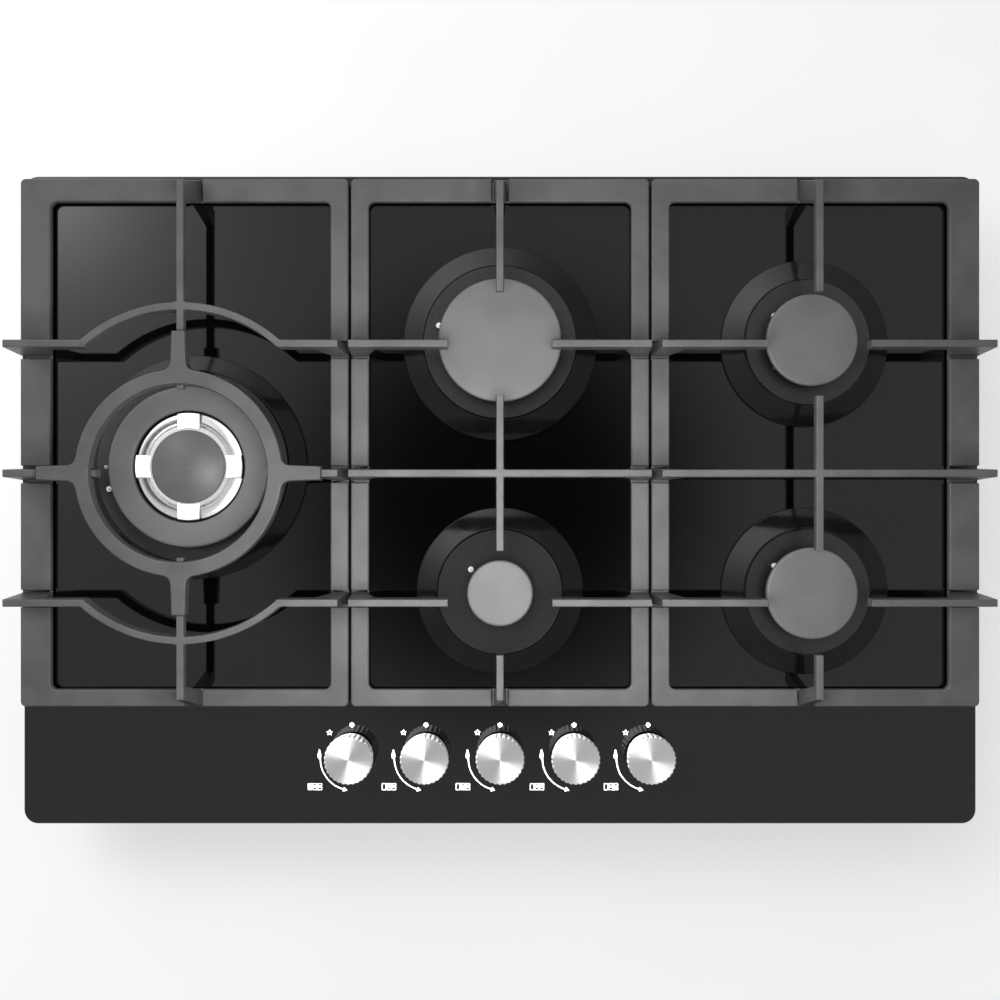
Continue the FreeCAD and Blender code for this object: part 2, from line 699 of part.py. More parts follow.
def rails(x0, x1, left, right, column):
    """Flat rail round a support, with a slot at each leg and blind holes for the feet."""
    y0, y1 = SUPPORT_FRONT, SUPPORT_REAR
    frame = prism(rectangle(x0, y0, x1, y1, RAIL_OUTSIDE_CORNER), RAIL_LOW, RAIL_HIGH)
    hollow = prism(rectangle(x0 + left, y0 + RAIL_FRONT, x1 - right, y1 - RAIL_REAR, RAIL_INSIDE_CORNER),
                   RAIL_LOW - OVER, RAIL_HIGH + OVER)
    frame = frame.cut(hollow)
    frame = frame.makeChamfer(RAIL_CHAMFER, edges_at(frame, RAIL_HIGH))
    slot = SLOT_WIDTH / 2
    floor, above = RAIL_LOW + SLOT_WEB, RAIL_HIGH + OVER
    cuts = []
    for row in ROWS:
        cuts.append(box(x0 - OVER, row - slot, floor, x0 + left + OVER, row + slot, above))
        cuts.append(box(x1 - right - OVER, row - slot, floor, x1 + OVER, row + slot, above))
    cuts.append(box(column - slot, y0 - OVER, floor, column + slot, y0 + RAIL_FRONT + OVER, above))
    cuts.append(box(column - slot, y1 - RAIL_REAR - OVER, floor, column + slot, y1 + OVER, above))
    cuts += [post(x, y, PEG_RADIUS, RAIL_LOW - OVER, RAIL_LOW + PEG_LENGTH + PEG_CLEAR)
             for x, y in foot_places(x0, x1, left, right)]
    return frame.cut(cuts)


def foot_places(x0, x1, left, right):
    """Feet under the side rails, near the four corners."""
    return [(x, y) for x in (x0 + left / 2, x1 - right / 2)
            for y in (SUPPORT_FRONT + FOOT_FROM_END, SUPPORT_REAR - FOOT_FROM_END)]


def rubber_feet(places):
    feet = []
    for x, y in places:
        pad = post(x, y, FOOT_RADIUS, TOP, RAIL_LOW)
        peg = post(x, y, PEG_RADIUS - PEG_CLEAR, RAIL_LOW - OVER, RAIL_LOW + PEG_LENGTH)
        feet.append(joined([pad, peg]))
    return group(feet)


def two_burner_support(x0, x1, left, right, column):
    """A support for a rear and a front burner, four fingers over each."""
    low_x = leg(x0, 1, left, SIDE_END_INSET, CROSS_BAR_DEPTH)
    high_x = leg(x1, -1, right, SIDE_END_INSET, CROSS_BAR_DEPTH)
    pieces = [rails(x0, x1, left, right, column)]
    pieces.append(bar("x", ROWS[1], low_x, high_x))
    for row in (ROWS[0], ROWS[2]):
        pieces.append(bar("x", row, low_x, tip(column - FINGER_GAP, CROSS_BAR_DEPTH)))
        pieces.append(bar("x", row, tip(column + FINGER_GAP, CROSS_BAR_DEPTH), high_x))
    low_y = leg(SUPPORT_FRONT, 1, RAIL_FRONT, LONG_END_INSET, STEM_DEPTH)
    high_y = leg(SUPPORT_REAR, -1, RAIL_REAR, LONG_END_INSET, STEM_DEPTH)
    pieces.append(bar("y", column, low_y, tip(ROWS[2] - FINGER_GAP, STEM_DEPTH)))
    pieces.append(bar("y", column, tip(ROWS[2] + FINGER_GAP, STEM_DEPTH),
                      tip(ROWS[0] - FINGER_GAP, STEM_DEPTH)))
    pieces.append(bar("y", column, tip(ROWS[0] + FINGER_GAP, STEM_DEPTH), high_y))
    pieces.append(crossing(column, ROWS[1]))
    return joined(pieces)


def bow(column, row, side):
    """Curved stretch of a cross bar that bows outward round the wok burner."""
    radius = (BOW_HALF_CHORD ** 2 + BOW_RISE ** 2) / (2 * BOW_RISE)
    centre_y = row + side * (BOW_RISE - radius)
    half = math.degrees(math.asin(BOW_HALF_CHORD / radius))
    start = math.radians(side * 90 - half)
    ca, sa = math.cos(start), math.sin(start)
    wire = outline(bar_section(BAR_HIGH - CROSS_BAR_DEPTH),
                   lambda v, z: vec(column + (radius + v) * ca, centre_y + (radius + v) * sa, z))
    pieces = [Part.Face(wire).revolve(vec(column, centre_y, 0), UP, 2 * half)]
    low, high = BAR_HIGH - CROSS_BAR_DEPTH, BAR_HIGH - BAR_CHAMFER
    for end in (-1, 1):
        kink = vec(column + end * BOW_HALF_CHORD, row, low)
        pieces.append(Part.makeCone(half_width(low), half_width(high), high - low, kink))
    return pieces


def wok_support(x0, x1, left, right, column):
    """The left support: four fingers point at the wok burner inside two bowed bars."""
    low_x = leg(x0, 1, left, SIDE_END_INSET, CROSS_BAR_DEPTH)
    high_x = leg(x1, -1, right, SIDE_END_INSET, CROSS_BAR_DEPTH)
    pieces = [rails(x0, x1, left, right, column)]
    for row, side in ((ROWS[0], 1), (ROWS[2], -1)):
        pieces.append(bar("x", row, low_x, tip(column - BOW_HALF_CHORD, CROSS_BAR_DEPTH)))
        pieces.append(bar("x", row, tip(column + BOW_HALF_CHORD, CROSS_BAR_DEPTH), high_x))
        pieces += bow(column, row, side)
        pieces.append(crossing(column, row + side * BOW_RISE))
    pieces.append(bar("x", ROWS[1], low_x, tip(column - WOK_FINGER_RADIUS, CROSS_BAR_DEPTH)))
    pieces.append(bar("x", ROWS[1], tip(column + WOK_FINGER_RADIUS, CROSS_BAR_DEPTH), high_x))
    low_y = leg(SUPPORT_FRONT, 1, RAIL_FRONT, LONG_END_INSET, STEM_DEPTH)
    high_y = leg(SUPPORT_REAR, -1, RAIL_REAR, LONG_END_INSET, STEM_DEPTH)
    pieces.append(bar("y", column, low_y, tip(ROWS[1] - WOK_FINGER_RADIUS, STEM_DEPTH)))
    pieces.append(bar("y", column, tip(ROWS[1] + WOK_FINGER_RADIUS, STEM_DEPTH), high_y))
    return joined(pieces)


def arm_roots(body, height):
    """Upright edges where the arms leave the outside of the wok ring."""
    roots = []
    for edge in body.Edges:
        if len(edge.Vertexes) < 2 or edge.BoundBox.ZLength < height / 2:
            continue
        x, y = edge.Vertexes[0].X, edge.Vertexes[0].Y
        on_ring = abs(math.hypot(x, y) - WOK_RING_RADIUS) < OVER / 100
        if on_ring and min(abs(x), abs(y)) > OVER:
            roots.append(edge)
    return roots


def wok_ring(x, y):
    """Loose ring with four arms; a channel under each arm straddles a finger."""
    low, high = BAR_HIGH - WOK_RING_BELOW, BAR_HIGH + WOK_RING_ABOVE
    root = (WOK_RING_BORE + WOK_RING_RADIUS) / 2
    a, b = WOK_ARM_ROOT / 2, WOK_ARM_TIP / 2
    arm = prism([(root, -a), (WOK_ARM_RADIUS, -b), (WOK_ARM_RADIUS, b), (root, a)], low, high)
    arms = []
    for i in range(4):
        piece = arm.copy()
        piece.rotate(vec(0, 0, 0), UP, 90.0 * i)
        arms.append(piece)
    body = joined([post(0, 0, WOK_RING_RADIUS, low, high)] + arms)
    body = body.makeFillet(WOK_ARM_FILLET, arm_roots(body, high - low))
    body = body.cut(post(0, 0, WOK_RING_BORE, low - OVER, high + OVER))
    body = body.makeChamfer(WOK_RING_CHAMFER, edges_at(body, high))
    channel = half_width(BAR_HIGH - WOK_RING_BELOW) + WOK_CHANNEL_CLEAR
    reach = WOK_ARM_RADIUS + OVER
    body = body.cut([box(-reach, -channel, low - OVER, reach, channel, BAR_HIGH),
                     box(-channel, -reach, low - OVER, channel, reach, BAR_HIGH)])
    body.translate(vec(x, y, 0))
    return body


# ---------------------------------------------------------------- burners
def screw_places(b):
    step = 360.0 / SCREWS_PER_BURNER
    return [polar(b["x"], b["y"], (b["screws"], step * i)) for i in range(SCREWS_PER_BURNER)]


def probe_holes(b, clear, low, high):
    """Cuts for a burner's electrode and thermocouple."""
    spark = polar(b["x"], b["y"], b["spark"])
    sensor = polar(b["x"], b["y"], b["sensor"])
    return [post(spark[0], spark[1], SPARK_RADIUS + clear, low, high),
            post(sensor[0], sensor[1], SENSOR_RADIUS + clear, low, high)]


def land_radius(b):
    """Outer radius of the dish's flat land, inside the step that carries the flame spreader."""
    return b["skirt"] - DISH_LAND


def burner_dish(b):
    """Enamelled dish: a rolled rim on the glass, a cone, a step for the spreader, a flat land."""
    t = DISH_SHEET
    wall = land_radius(b)
    crest = b["skirt"] + DISH_LAND
    dish = turned([(b["dish"], 0), (b["dish"], DISH_RIM), (crest, DISH_TOP), (wall, DISH_TOP), (wall, t),
                   (DISH_BORE, t), (DISH_BORE, 0), (wall + t, 0), (wall + t, DISH_TOP - t),
                   (crest, DISH_TOP - t), (b["dish"] - t, DISH_RIM - t / 2), (b["dish"] - t, 0)],
                  b["x"], b["y"], TOP)
    cuts = probe_holes(b, PROBE_CLEAR, TOP - OVER, TOP + t + OVER)
    cuts += [post(x, y, SCREW_RADIUS + SCREW_CLEAR, TOP - OVER, TOP + t + OVER) for x, y in screw_places(b)]
    return dish.cut(cuts)


def burner_base(b):
    """Die-cast base in the hole of the glass: a plate with a lip under the glass, a mixing cup
    with air windows, and a block that holds the jet."""
    x, y = b["x"], b["y"]
    neck = b["opening"] - BASE_CLEAR
    plate = TOP - BASE_PLATE
    base = turned([(JET_THREAD, CUP_BOTTOM), (CUP_RADIUS, CUP_BOTTOM), (CUP_RADIUS, plate),
                   (neck - BASE_RIM, plate), (neck - BASE_RIM, UNDER - BASE_FLANGE),
                   (b["opening"] + BASE_LIP, UNDER - BASE_FLANGE), (b["opening"] + BASE_LIP, UNDER),
                   (neck, UNDER), (neck, TOP), (CUP_BORE, TOP), (CUP_BORE, CUP_BOTTOM + CUP_FLOOR),
                   (JET_THREAD, CUP_BOTTOM + CUP_FLOOR)], x, y)
    half = JET_BLOCK / 2
    low = GAS_HEIGHT - JET_BLOCK_DROP
    base = joined([base, box(x - half, y - half, low, x + half, y + half, CUP_BOTTOM)])
    cuts = [rod_y(x, GAS_HEIGHT, TUBE_RADIUS - TUBE_WALL, y - half - OVER, y),
            post(x, y, JET_THREAD, GAS_HEIGHT, CUP_BOTTOM + OVER)]
    wide = AIR_WINDOW_WIDTH / 2
    for i in range(AIR_WINDOWS):
        window = box(0, -wide, AIR_WINDOW_LOW, CUP_RADIUS + OVER, wide, AIR_WINDOW_HIGH)
        window.rotate(vec(0, 0, 0), UP, AIR_WINDOW_START + 360.0 * i / AIR_WINDOWS)
        window.translate(vec(x, y, 0))
        cuts.append(window)
    cuts += probe_holes(b, PROBE_CLEAR, UNDER - BASE_FLANGE - OVER, TOP + OVER)
    cuts += [post(sx, sy, SCREW_RADIUS + SCREW_CLEAR, plate - OVER, TOP + OVER) for sx, sy in screw_places(b)]
    return base.cut(cuts)


def ports(b, radius, wall, crown_top):
    """Radial flame ports cut in the top of a crown's wall."""
    count = round(2 * math.pi * radius / PORT_PITCH)
    cuts = []
    for i in range(count):
        slot = box(radius - wall - OVER / 2, -PORT_WIDTH / 2, crown_top - PORT_DEPTH,
                   radius + OVER / 2, PORT_WIDTH / 2, crown_top + OVER)
        slot.rotate(vec(0, 0, 0), UP, 360.0 * i / count)
        slot.translate(vec(b["x"], b["y"], TOP))
        cuts.append(slot)
    return cuts


def spreader_foot(b):
    """Lower half of a flame spreader's outline: throat, collar and skirt, up to the skirt's edge."""
    tube = THROAT_BORE + THROAT_WALL
    collar = land_radius(b) - COLLAR_CLEAR
    return [(THROAT_BORE, -THROAT_DEPTH), (tube, -THROAT_DEPTH), (tube, DISH_TOP),
            (collar - COLLAR_WALL, DISH_TOP), (collar - COLLAR_WALL, DISH_TOP - COLLAR_DEPTH),
            (collar, DISH_TOP - COLLAR_DEPTH), (collar, DISH_TOP),
            (b["skirt"], DISH_TOP), (b["skirt"], SKIRT_TOP)]


def skirt_holes(b):
    return probe_holes(b, PROBE_CLEAR, TOP, TOP + SKIRT_TOP + OVER)


def flame_spreader(b):
    inner = b["crown"] - CROWN_WALL
    corners = spreader_foot(b) + [(b["crown"], SKIRT_TOP), (b["crown"], CROWN_TOP), (inner, CROWN_TOP),
                                  (inner, SKIRT_TOP), (THROAT_BORE, SKIRT_TOP)]
    body = turned(corners, b["x"], b["y"], TOP)
    return body.cut(ports(b, b["crown"], CROWN_WALL, CROWN_TOP) + skirt_holes(b))


def burner_cap(b):
    """Enamelled cap with a rib underneath that centres it in the crown."""
    rib = b["crown"] - CROWN_WALL - CAP_CLEAR
    return turned([(0, CROWN_TOP), (rib - CAP_RIB_WALL, CROWN_TOP), (rib - CAP_RIB_WALL, CROWN_TOP - CAP_RIB),
                   (rib, CROWN_TOP - CAP_RIB), (rib, CROWN_TOP), (b["cap"] - CAP_BEVEL, CROWN_TOP),
                   (b["cap"], CROWN_TOP + CAP_BEVEL), (b["cap"], CAP_TOP, CAP_ROUND), (0, CAP_TOP)],
                  b["x"], b["y"], TOP)


def wok_spreader(b):
    outer, facing, wall, high = WOK_OUTER_CROWN, WOK_FACING_CROWN, WOK_CROWN_WALL, WOK_CROWN_TOP
    corners = spreader_foot(b) + [(outer, SKIRT_TOP), (outer, high), (outer - wall, high),
                                  (outer - wall, SKIRT_TOP), (facing, SKIRT_TOP), (facing, high),
                                  (facing - wall, high), (facing - wall, SKIRT_TOP), (THROAT_BORE, SKIRT_TOP)]
    body = turned(corners, b["x"], b["y"], TOP)
    return body.cut(ports(b, outer, wall, high) + ports(b, facing, wall, high) + skirt_holes(b))


def wok_outer_cap(b):
    """Ring-shaped cap over the outer crown, with a rib between the crown's two walls."""
    rib = WOK_OUTER_CROWN - WOK_CROWN_WALL - CAP_CLEAR
    low = WOK_CROWN_TOP
    return turned([(WOK_CAP_BORE, low), (rib - CAP_RIB_WALL, low), (rib - CAP_RIB_WALL, low - CAP_RIB),
                   (rib, low - CAP_RIB), (rib, low), (WOK_CAP_RADIUS - CAP_BEVEL, low),
                   (WOK_CAP_RADIUS, low + CAP_BEVEL), (WOK_CAP_RADIUS, WOK_CAP_TOP, CAP_ROUND),
                   (WOK_CAP_BORE, WOK_CAP_TOP, CAP_BEVEL)], b["x"], b["y"], TOP)


def wok_inner_crown(b):
    """Chromed crown: a floor, a wall for the inner cap, a sloping ring and four bridges."""
    floor = SKIRT_TOP + INNER_CROWN_FLOOR
    ring = INNER_WALL_RADIUS + INNER_SLOT
    body = turned([(THROAT_BORE, SKIRT_TOP), (INNER_CROWN_RADIUS, SKIRT_TOP),
                   (INNER_CROWN_RADIUS, SEGMENT_LOW), (ring, SEGMENT_HIGH), (ring, floor),
                   (INNER_WALL_RADIUS, floor), (INNER_WALL_RADIUS, INNER_CROWN_TOP),
                   (INNER_WALL_BORE, INNER_CROWN_TOP),
                   (INNER_WALL_BORE, floor), (THROAT_BORE, floor)])
    band = turned([(BRIDGE_BORE, floor - OVER), (INNER_CROWN_RADIUS, floor - OVER),
                   (INNER_CROWN_RADIUS, BRIDGE_TOP), (BRIDGE_BORE, BRIDGE_TOP)])
    half = BRIDGE_WIDTH / 2
    reach = INNER_CROWN_RADIUS + OVER
    cross = joined([box(-reach, -half, 0, reach, half, TOP), box(-half, -reach, 0, half, reach, TOP)])
    body = joined([body, band.common(cross)])
    body.translate(vec(b["x"], b["y"], TOP))
    return body


def wok_inner_cap(b):
    """Domed cap on the inner crown."""
    rise = INNER_CAP_TOP - INNER_CROWN_TOP - INNER_CAP_EDGE
    sphere_radius = (INNER_CAP_RADIUS ** 2 + rise ** 2) / (2 * rise)
    disc = post(0, 0, INNER_CAP_RADIUS, INNER_CROWN_TOP, INNER_CAP_TOP + OVER)
    dome = disc.common(Part.makeSphere(sphere_radius, vec(0, 0, INNER_CAP_TOP - sphere_radius)))
    rib = INNER_WALL_BORE - CAP_CLEAR
    ring = turned([(rib - CAP_RIB_WALL, INNER_CROWN_TOP - CAP_RIB), (rib, INNER_CROWN_TOP - CAP_RIB),
                   (rib, INNER_CROWN_TOP + CAP_BEVEL), (rib - CAP_RIB_WALL, INNER_CROWN_TOP + CAP_BEVEL)])
    cap = joined([dome, ring])
    cap.translate(vec(b["x"], b["y"], TOP))
    return cap


def burner_screws():
    """Screws that clamp each dish and the glass down on its base."""
    land = TOP + DISH_SHEET
    screws = []
    for b in BURNERS:
        for x, y in screw_places(b):
            head = hexagon(x, y, SCREW_HEAD, land, land + SCREW_HEAD_THICK)
            screws.append(joined([head, post(x, y, SCREW_RADIUS, land - SCREW_REACH, land)]))
    return screws


def jets():
    """Brass jets screwed into the floor of each mixing cup."""
    seat = CUP_BOTTOM + CUP_FLOOR
    pieces = []
    for b in BURNERS:
        x, y = b["x"], b["y"]
        body = joined([hexagon(x, y, JET_HEX, seat, seat + JET_LENGTH),
                       post(x, y, JET_THREAD - JET_THREAD_CLEAR, GAS_HEIGHT + TUBE_RADIUS, seat)])
        pieces.append(body.cut(post(x, y, JET_ORIFICE, GAS_HEIGHT, seat + JET_LENGTH + OVER)))
    return group(pieces)


def spark_electrodes():
    """Ceramic electrodes with a wire pin at the tip."""
    pieces = []
    for b in BURNERS:
        x, y = polar(b["x"], b["y"], b["spark"])
        body = post(x, y, SPARK_RADIUS, UNDER - SPARK_BELOW, TOP + SPARK_TOP)
        pin = post(x, y, PIN_RADIUS, TOP + SPARK_TOP - OVER, TOP + SPARK_TOP + PIN_LENGTH)
        pieces.append(joined([body, pin]))
    return group(pieces)


def magnet_place(i):
    """Centre of the safety magnet beside tap i, to its rear right."""
    reach = MAGNET_OFFSET / math.sqrt(2)
    return KNOB_X[i] + reach, KNOB_Y + reach


def lead_plan(i, start, aside, lane_y, end_x):
    """Turns of a lead: a step aside, then along the part's depth to its lane, then across."""
    x = start[0] - aside[i]
    turns = [(x, start[1])] if aside[i] else []
    return turns + [(x, lane_y), (end_x, lane_y)]


def thermocouples():
    """Each thermocouple is one piece with its lead, which ends in the tap's safety magnet."""
    pieces = []
    z = SENSOR_LEAD_HEIGHT
    low = UNDER - SENSOR_BELOW
    for i, b in enumerate(BURNERS):
        x, y = polar(b["x"], b["y"], b["sensor"])
        end_x, end_y = magnet_place(i)
        turns = lead_plan(i, (x, y), SENSOR_ASIDE, end_y + SENSOR_LANE[i], end_x)
        points = [(x, y, low), (x, y, z)] + [(u, v, z) for u, v in turns]
        points += [(end_x, end_y, z), (end_x, end_y, TAP_BOTTOM)]
        pieces.append(joined([post(x, y, SENSOR_RADIUS, low, TOP + SENSOR_TOP),
                              pipe(points, LEAD_RISE_BEND, SENSOR_LEAD_RADIUS)]))
    return group(pieces)


def module_port(i):
    """Place of a spark outlet on the front of the ignition module."""
    x = MODULE_X + MODULE_PORT_PITCH * (i - (KNOB_COUNT - 1) / 2)
    return x, MODULE_Y - MODULE_DEPTH / 2 - MODULE_PORT_LENGTH


def ignition_leads():
    """Insulated leads from the electrodes to the module's outlets, along the tray's floor."""
    z = SPARK_LEAD_HEIGHT
    leads = []
    for i, b in enumerate(BURNERS):
        x, y = polar(b["x"], b["y"], b["spark"])
        end_x, end_y = module_port(SPARK_OUTLET[i])
        if SPARK_LANE[i]:
            turns = lead_plan(i, (x, y), SPARK_ASIDE, ROWS[1] + SPARK_LANE[i], end_x)
        else:
            turns = [(end_x, y)]
        points = [(x, y, UNDER - SPARK_BELOW), (x, y, z)] + [(u, v, z) for u, v in turns]
        leads.append(pipe(points + [(end_x, end_y, z)], LEAD_BEND, SPARK_LEAD_RADIUS))
    return group(leads)


def ignition_module():
    """Spark box with its lid, five outlets and a mains terminal at the side."""
    x0, x1 = MODULE_X - MODULE_WIDTH / 2, MODULE_X + MODULE_WIDTH / 2
    y0, y1 = MODULE_Y - MODULE_DEPTH / 2, MODULE_Y + MODULE_DEPTH / 2
    low, high, step = TRAY_SHEET, TRAY_SHEET + MODULE_HEIGHT, MODULE_LID_STEP
    case = prism(rectangle(x0, y0, x1, y1, MODULE_CORNER), low, high)
    lid_plan = rectangle(x0 + step, y0 + step, x1 - step, y1 - step, MODULE_CORNER)
    lid = prism(lid_plan, high, high + MODULE_LID_THICK)
    terminal = box(x0 - TERMINAL_LENGTH, MODULE_Y - TERMINAL_WIDTH / 2, low,
                   x0 + OVER, MODULE_Y + TERMINAL_WIDTH / 2, low + TERMINAL_HEIGHT)
    outlets = []
    for i in range(KNOB_COUNT):
        x, y = module_port(i)
        outlets.append(rod_y(x, SPARK_LEAD_HEIGHT, MODULE_PORT_RADIUS, y, y0 + OVER))
    return joined([case, lid, terminal] + outlets)


# ---------------------------------------------------------------- gas taps, knobs and pipes
def flatted(x, y, radius, flat, low, high):
    """A round shaft or bore with one flat, on its right side."""
    side = box(x + flat, y - radius - OVER, low - OVER, x + radius + OVER, y + radius + OVER, high + OVER)
    return post(x, y, radius, low, high).cut(side)


def taper(x, y, grow, low, high):
    """The cone shared by a tap's plug and its body, grown by a clearance."""
    slope = (PLUG_RADIUS_TOP - PLUG_RADIUS_BOTTOM) / (PLUG_TOP - PLUG_BOTTOM)
    lower = PLUG_RADIUS_BOTTOM + (low - PLUG_BOTTOM) * slope + grow
    upper = PLUG_RADIUS_BOTTOM + (high - PLUG_BOTTOM) * slope + grow
    return Part.makeCone(lower, upper, high - low, vec(x, y, low))


def tap_body(i):
    """Brass body of tap i, saddled on the gas pipe, with outlet, safety magnet and cover."""
    x, y = KNOB_X[i], KNOB_Y
    mx, my = magnet_place(i)
    shoulder = TAP_TOP - COVER_THICK
    boss = MANIFOLD_RADIUS - MANIFOLD_WALL
    parts = [post(x, y, TAP_RADIUS, TAP_BOTTOM, TAP_TOP),
             box(x - boss, MANIFOLD_Y, GAS_HEIGHT - boss, x + boss, y, GAS_HEIGHT + boss),
             rod_y(x, GAS_HEIGHT, NOZZLE_RADIUS, y, y + NOZZLE_LENGTH),
             post(mx, my, MAGNET_RADIUS, TAP_BOTTOM, MAGNET_TOP)]
    body = joined(parts)
    reach = TAP_RADIUS + OVER
    cuts = [rod_x(MANIFOLD_Y, GAS_HEIGHT, MANIFOLD_RADIUS + MANIFOLD_CLEAR, x - reach, x + reach),
            taper(x, y, PLUG_CLEAR, PLUG_BOTTOM, PLUG_TOP),
            post(x, y, PLUG_RADIUS_TOP + PLUG_LIFT, PLUG_TOP, shoulder),
            post(x, y, SPINDLE_RADIUS + COVER_CLEAR, shoulder - OVER, TAP_TOP + OVER),
            rod_y(x, GAS_HEIGHT, PLUG_PORT, MANIFOLD_Y, y + NOZZLE_LENGTH + OVER)]
    return body.cut(cuts)


def tap_plug(i):
    """Tapered plug that turns in the body; a flatted hole takes the spindle."""
    x, y = KNOB_X[i], KNOB_Y
    plug = taper(x, y, 0.0, PLUG_BOTTOM + PLUG_LIFT, PLUG_TOP)
    deep = SPINDLE_BOTTOM - PUSH_TRAVEL - OVER
    socket = flatted(x, y, SPINDLE_RADIUS + COVER_CLEAR, SPINDLE_FLAT + COVER_CLEAR, deep, PLUG_TOP + OVER)
    return plug.cut([socket, rod_y(x, GAS_HEIGHT, PLUG_PORT, y - PLUG_RADIUS_TOP, y + PLUG_RADIUS_TOP)])


def knob_levels():
    """Underside and top of a knob that isn't pushed."""
    low = TOP + KNOB_GAP
    return low, low + KNOB_HEIGHT


def spindle(i):
    """Steel spindle: a flat at both ends, and a collar that stops it under the tap's cover."""
    x, y = KNOB_X[i], KNOB_Y
    socket = knob_levels()[0] + KNOB_HUB_RECESS
    flat_end = PLUG_TOP + PUSH_TRAVEL + PLUG_LIFT
    shoulder = TAP_TOP - COVER_THICK
    collar = post(x, y, SPINDLE_COLLAR, shoulder - SPINDLE_COLLAR_THICK, shoulder)
    return joined([flatted(x, y, SPINDLE_RADIUS, SPINDLE_FLAT, SPINDLE_BOTTOM, flat_end),
                   post(x, y, SPINDLE_RADIUS, flat_end, socket),
                   flatted(x, y, SPINDLE_RADIUS, SPINDLE_FLAT, socket, socket + SPINDLE_IN_KNOB), collar])


def knob(i):
    """Hollow knob with a finely fluted rim and a flatted socket in its hub."""
    x, y = KNOB_X[i], KNOB_Y
    low, high = knob_levels()
    hollow = KNOB_RADIUS - KNOB_SKIRT_WALL
    roof = KNOB_HEIGHT - KNOB_ROOF
    body = turned([(0, KNOB_HUB_RECESS), (KNOB_HUB, KNOB_HUB_RECESS), (KNOB_HUB, roof),
                   (hollow - KNOB_SKIRT_DRAFT, roof), (hollow, 0), (KNOB_RADIUS, 0),
                   (KNOB_RADIUS - KNOB_TAPER, KNOB_HEIGHT, KNOB_ROUND), (0, KNOB_HEIGHT)], x, y, low)
    socket = low + KNOB_HUB_RECESS
    cuts = [flatted(x, y, SPINDLE_RADIUS + SPINDLE_CLEAR, SPINDLE_FLAT + SPINDLE_CLEAR, socket - OVER,
                    socket + SPINDLE_IN_KNOB + SPINDLE_CLEAR)]
    for n in range(KNOB_FLUTES):
        fx, fy = polar(x, y, (KNOB_RADIUS + FLUTE_RADIUS - FLUTE_DEPTH, 360.0 * n / KNOB_FLUTES))
        cuts.append(post(fx, fy, FLUTE_RADIUS, low - OVER, high + OVER))
    return body.cut(cuts)


def knob_grommets():
    """Rubber grommets that line the spindle holes of the glass."""
    neck = SEAL_HOLE - GROMMET_CLEAR
    pieces = []
    for x in KNOB_X:
        pieces.append(turned([(GROMMET_BORE, UNDER), (neck, UNDER), (neck, TOP), (GROMMET_FLANGE, TOP),
                              (GROMMET_FLANGE, TOP + GROMMET_FLANGE_THICK),
                              (GROMMET_BORE, TOP + GROMMET_FLANGE_THICK)], x, KNOB_Y))
    return group(pieces)


def gas_manifold():
    """Aluminium gas pipe past the taps, along the right side and up to the inlet."""
    rise_end = RECESS_WALL_Y - MANIFOLD_RISE_GAP
    end = KNOB_X[0] - MANIFOLD_PAST_TAP
    points = [(end, MANIFOLD_Y, GAS_HEIGHT), (INLET_X, MANIFOLD_Y, GAS_HEIGHT),
              (INLET_X, rise_end - MANIFOLD_RISE_RUN, GAS_HEIGHT), (INLET_X, rise_end, INLET_HEIGHT),
              (INLET_X, INLET_Y - INLET_PIPE_END, INLET_HEIGHT)]
    tube = pipe(points, MANIFOLD_BEND, MANIFOLD_RADIUS, MANIFOLD_RADIUS - MANIFOLD_WALL)
    plug = rod_x(MANIFOLD_Y, GAS_HEIGHT, MANIFOLD_RADIUS, end - MANIFOLD_PLUG, end)
    holes = [rod_y(x, GAS_HEIGHT, PLUG_PORT, MANIFOLD_Y, MANIFOLD_Y + MANIFOLD_RADIUS + OVER) for x in KNOB_X]
    return joined([tube, plug]).cut(holes)


def gas_inlet():
    """Brass elbow in the recess: a collar on the pipe, and a thread that points down."""
    x, y = INLET_X, INLET_Y
    end = y - INLET_PIPE_END
    half = INLET_BLOCK / 2
    block = prism(rectangle(x - half, y - half, x + half, y + half, INLET_BLOCK_CORNER),
                  INLET_THREAD_TOP + INLET_HEX_THICK, INLET_HEIGHT + half)
    body = joined([block, rod_y(x, INLET_HEIGHT, INLET_COLLAR, end - INLET_COLLAR_LENGTH, y),
                   hexagon(x, y, INLET_HEX, INLET_THREAD_TOP, INLET_THREAD_TOP + INLET_HEX_THICK),
                   post(x, y, INLET_THREAD, INLET_THREAD_END, INLET_THREAD_TOP)])
    socket = MANIFOLD_RADIUS + MANIFOLD_CLEAR
    return body.cut([rod_y(x, INLET_HEIGHT, socket, end - INLET_COLLAR_LENGTH - OVER, end),
                     rod_y(x, INLET_HEIGHT, INLET_BORE, end - OVER, y),
                     post(x, y, INLET_BORE, INLET_THREAD_END - OVER, INLET_HEIGHT)])


def tube_plan(i):
    """Turns of burner tube i between its tap and its burner."""
    b = BURNERS[i]
    lane = TUBE_LANE[i]
    return [(KNOB_X[i], KNOB_Y + lane), (b["x"], KNOB_Y + lane)] if lane else []


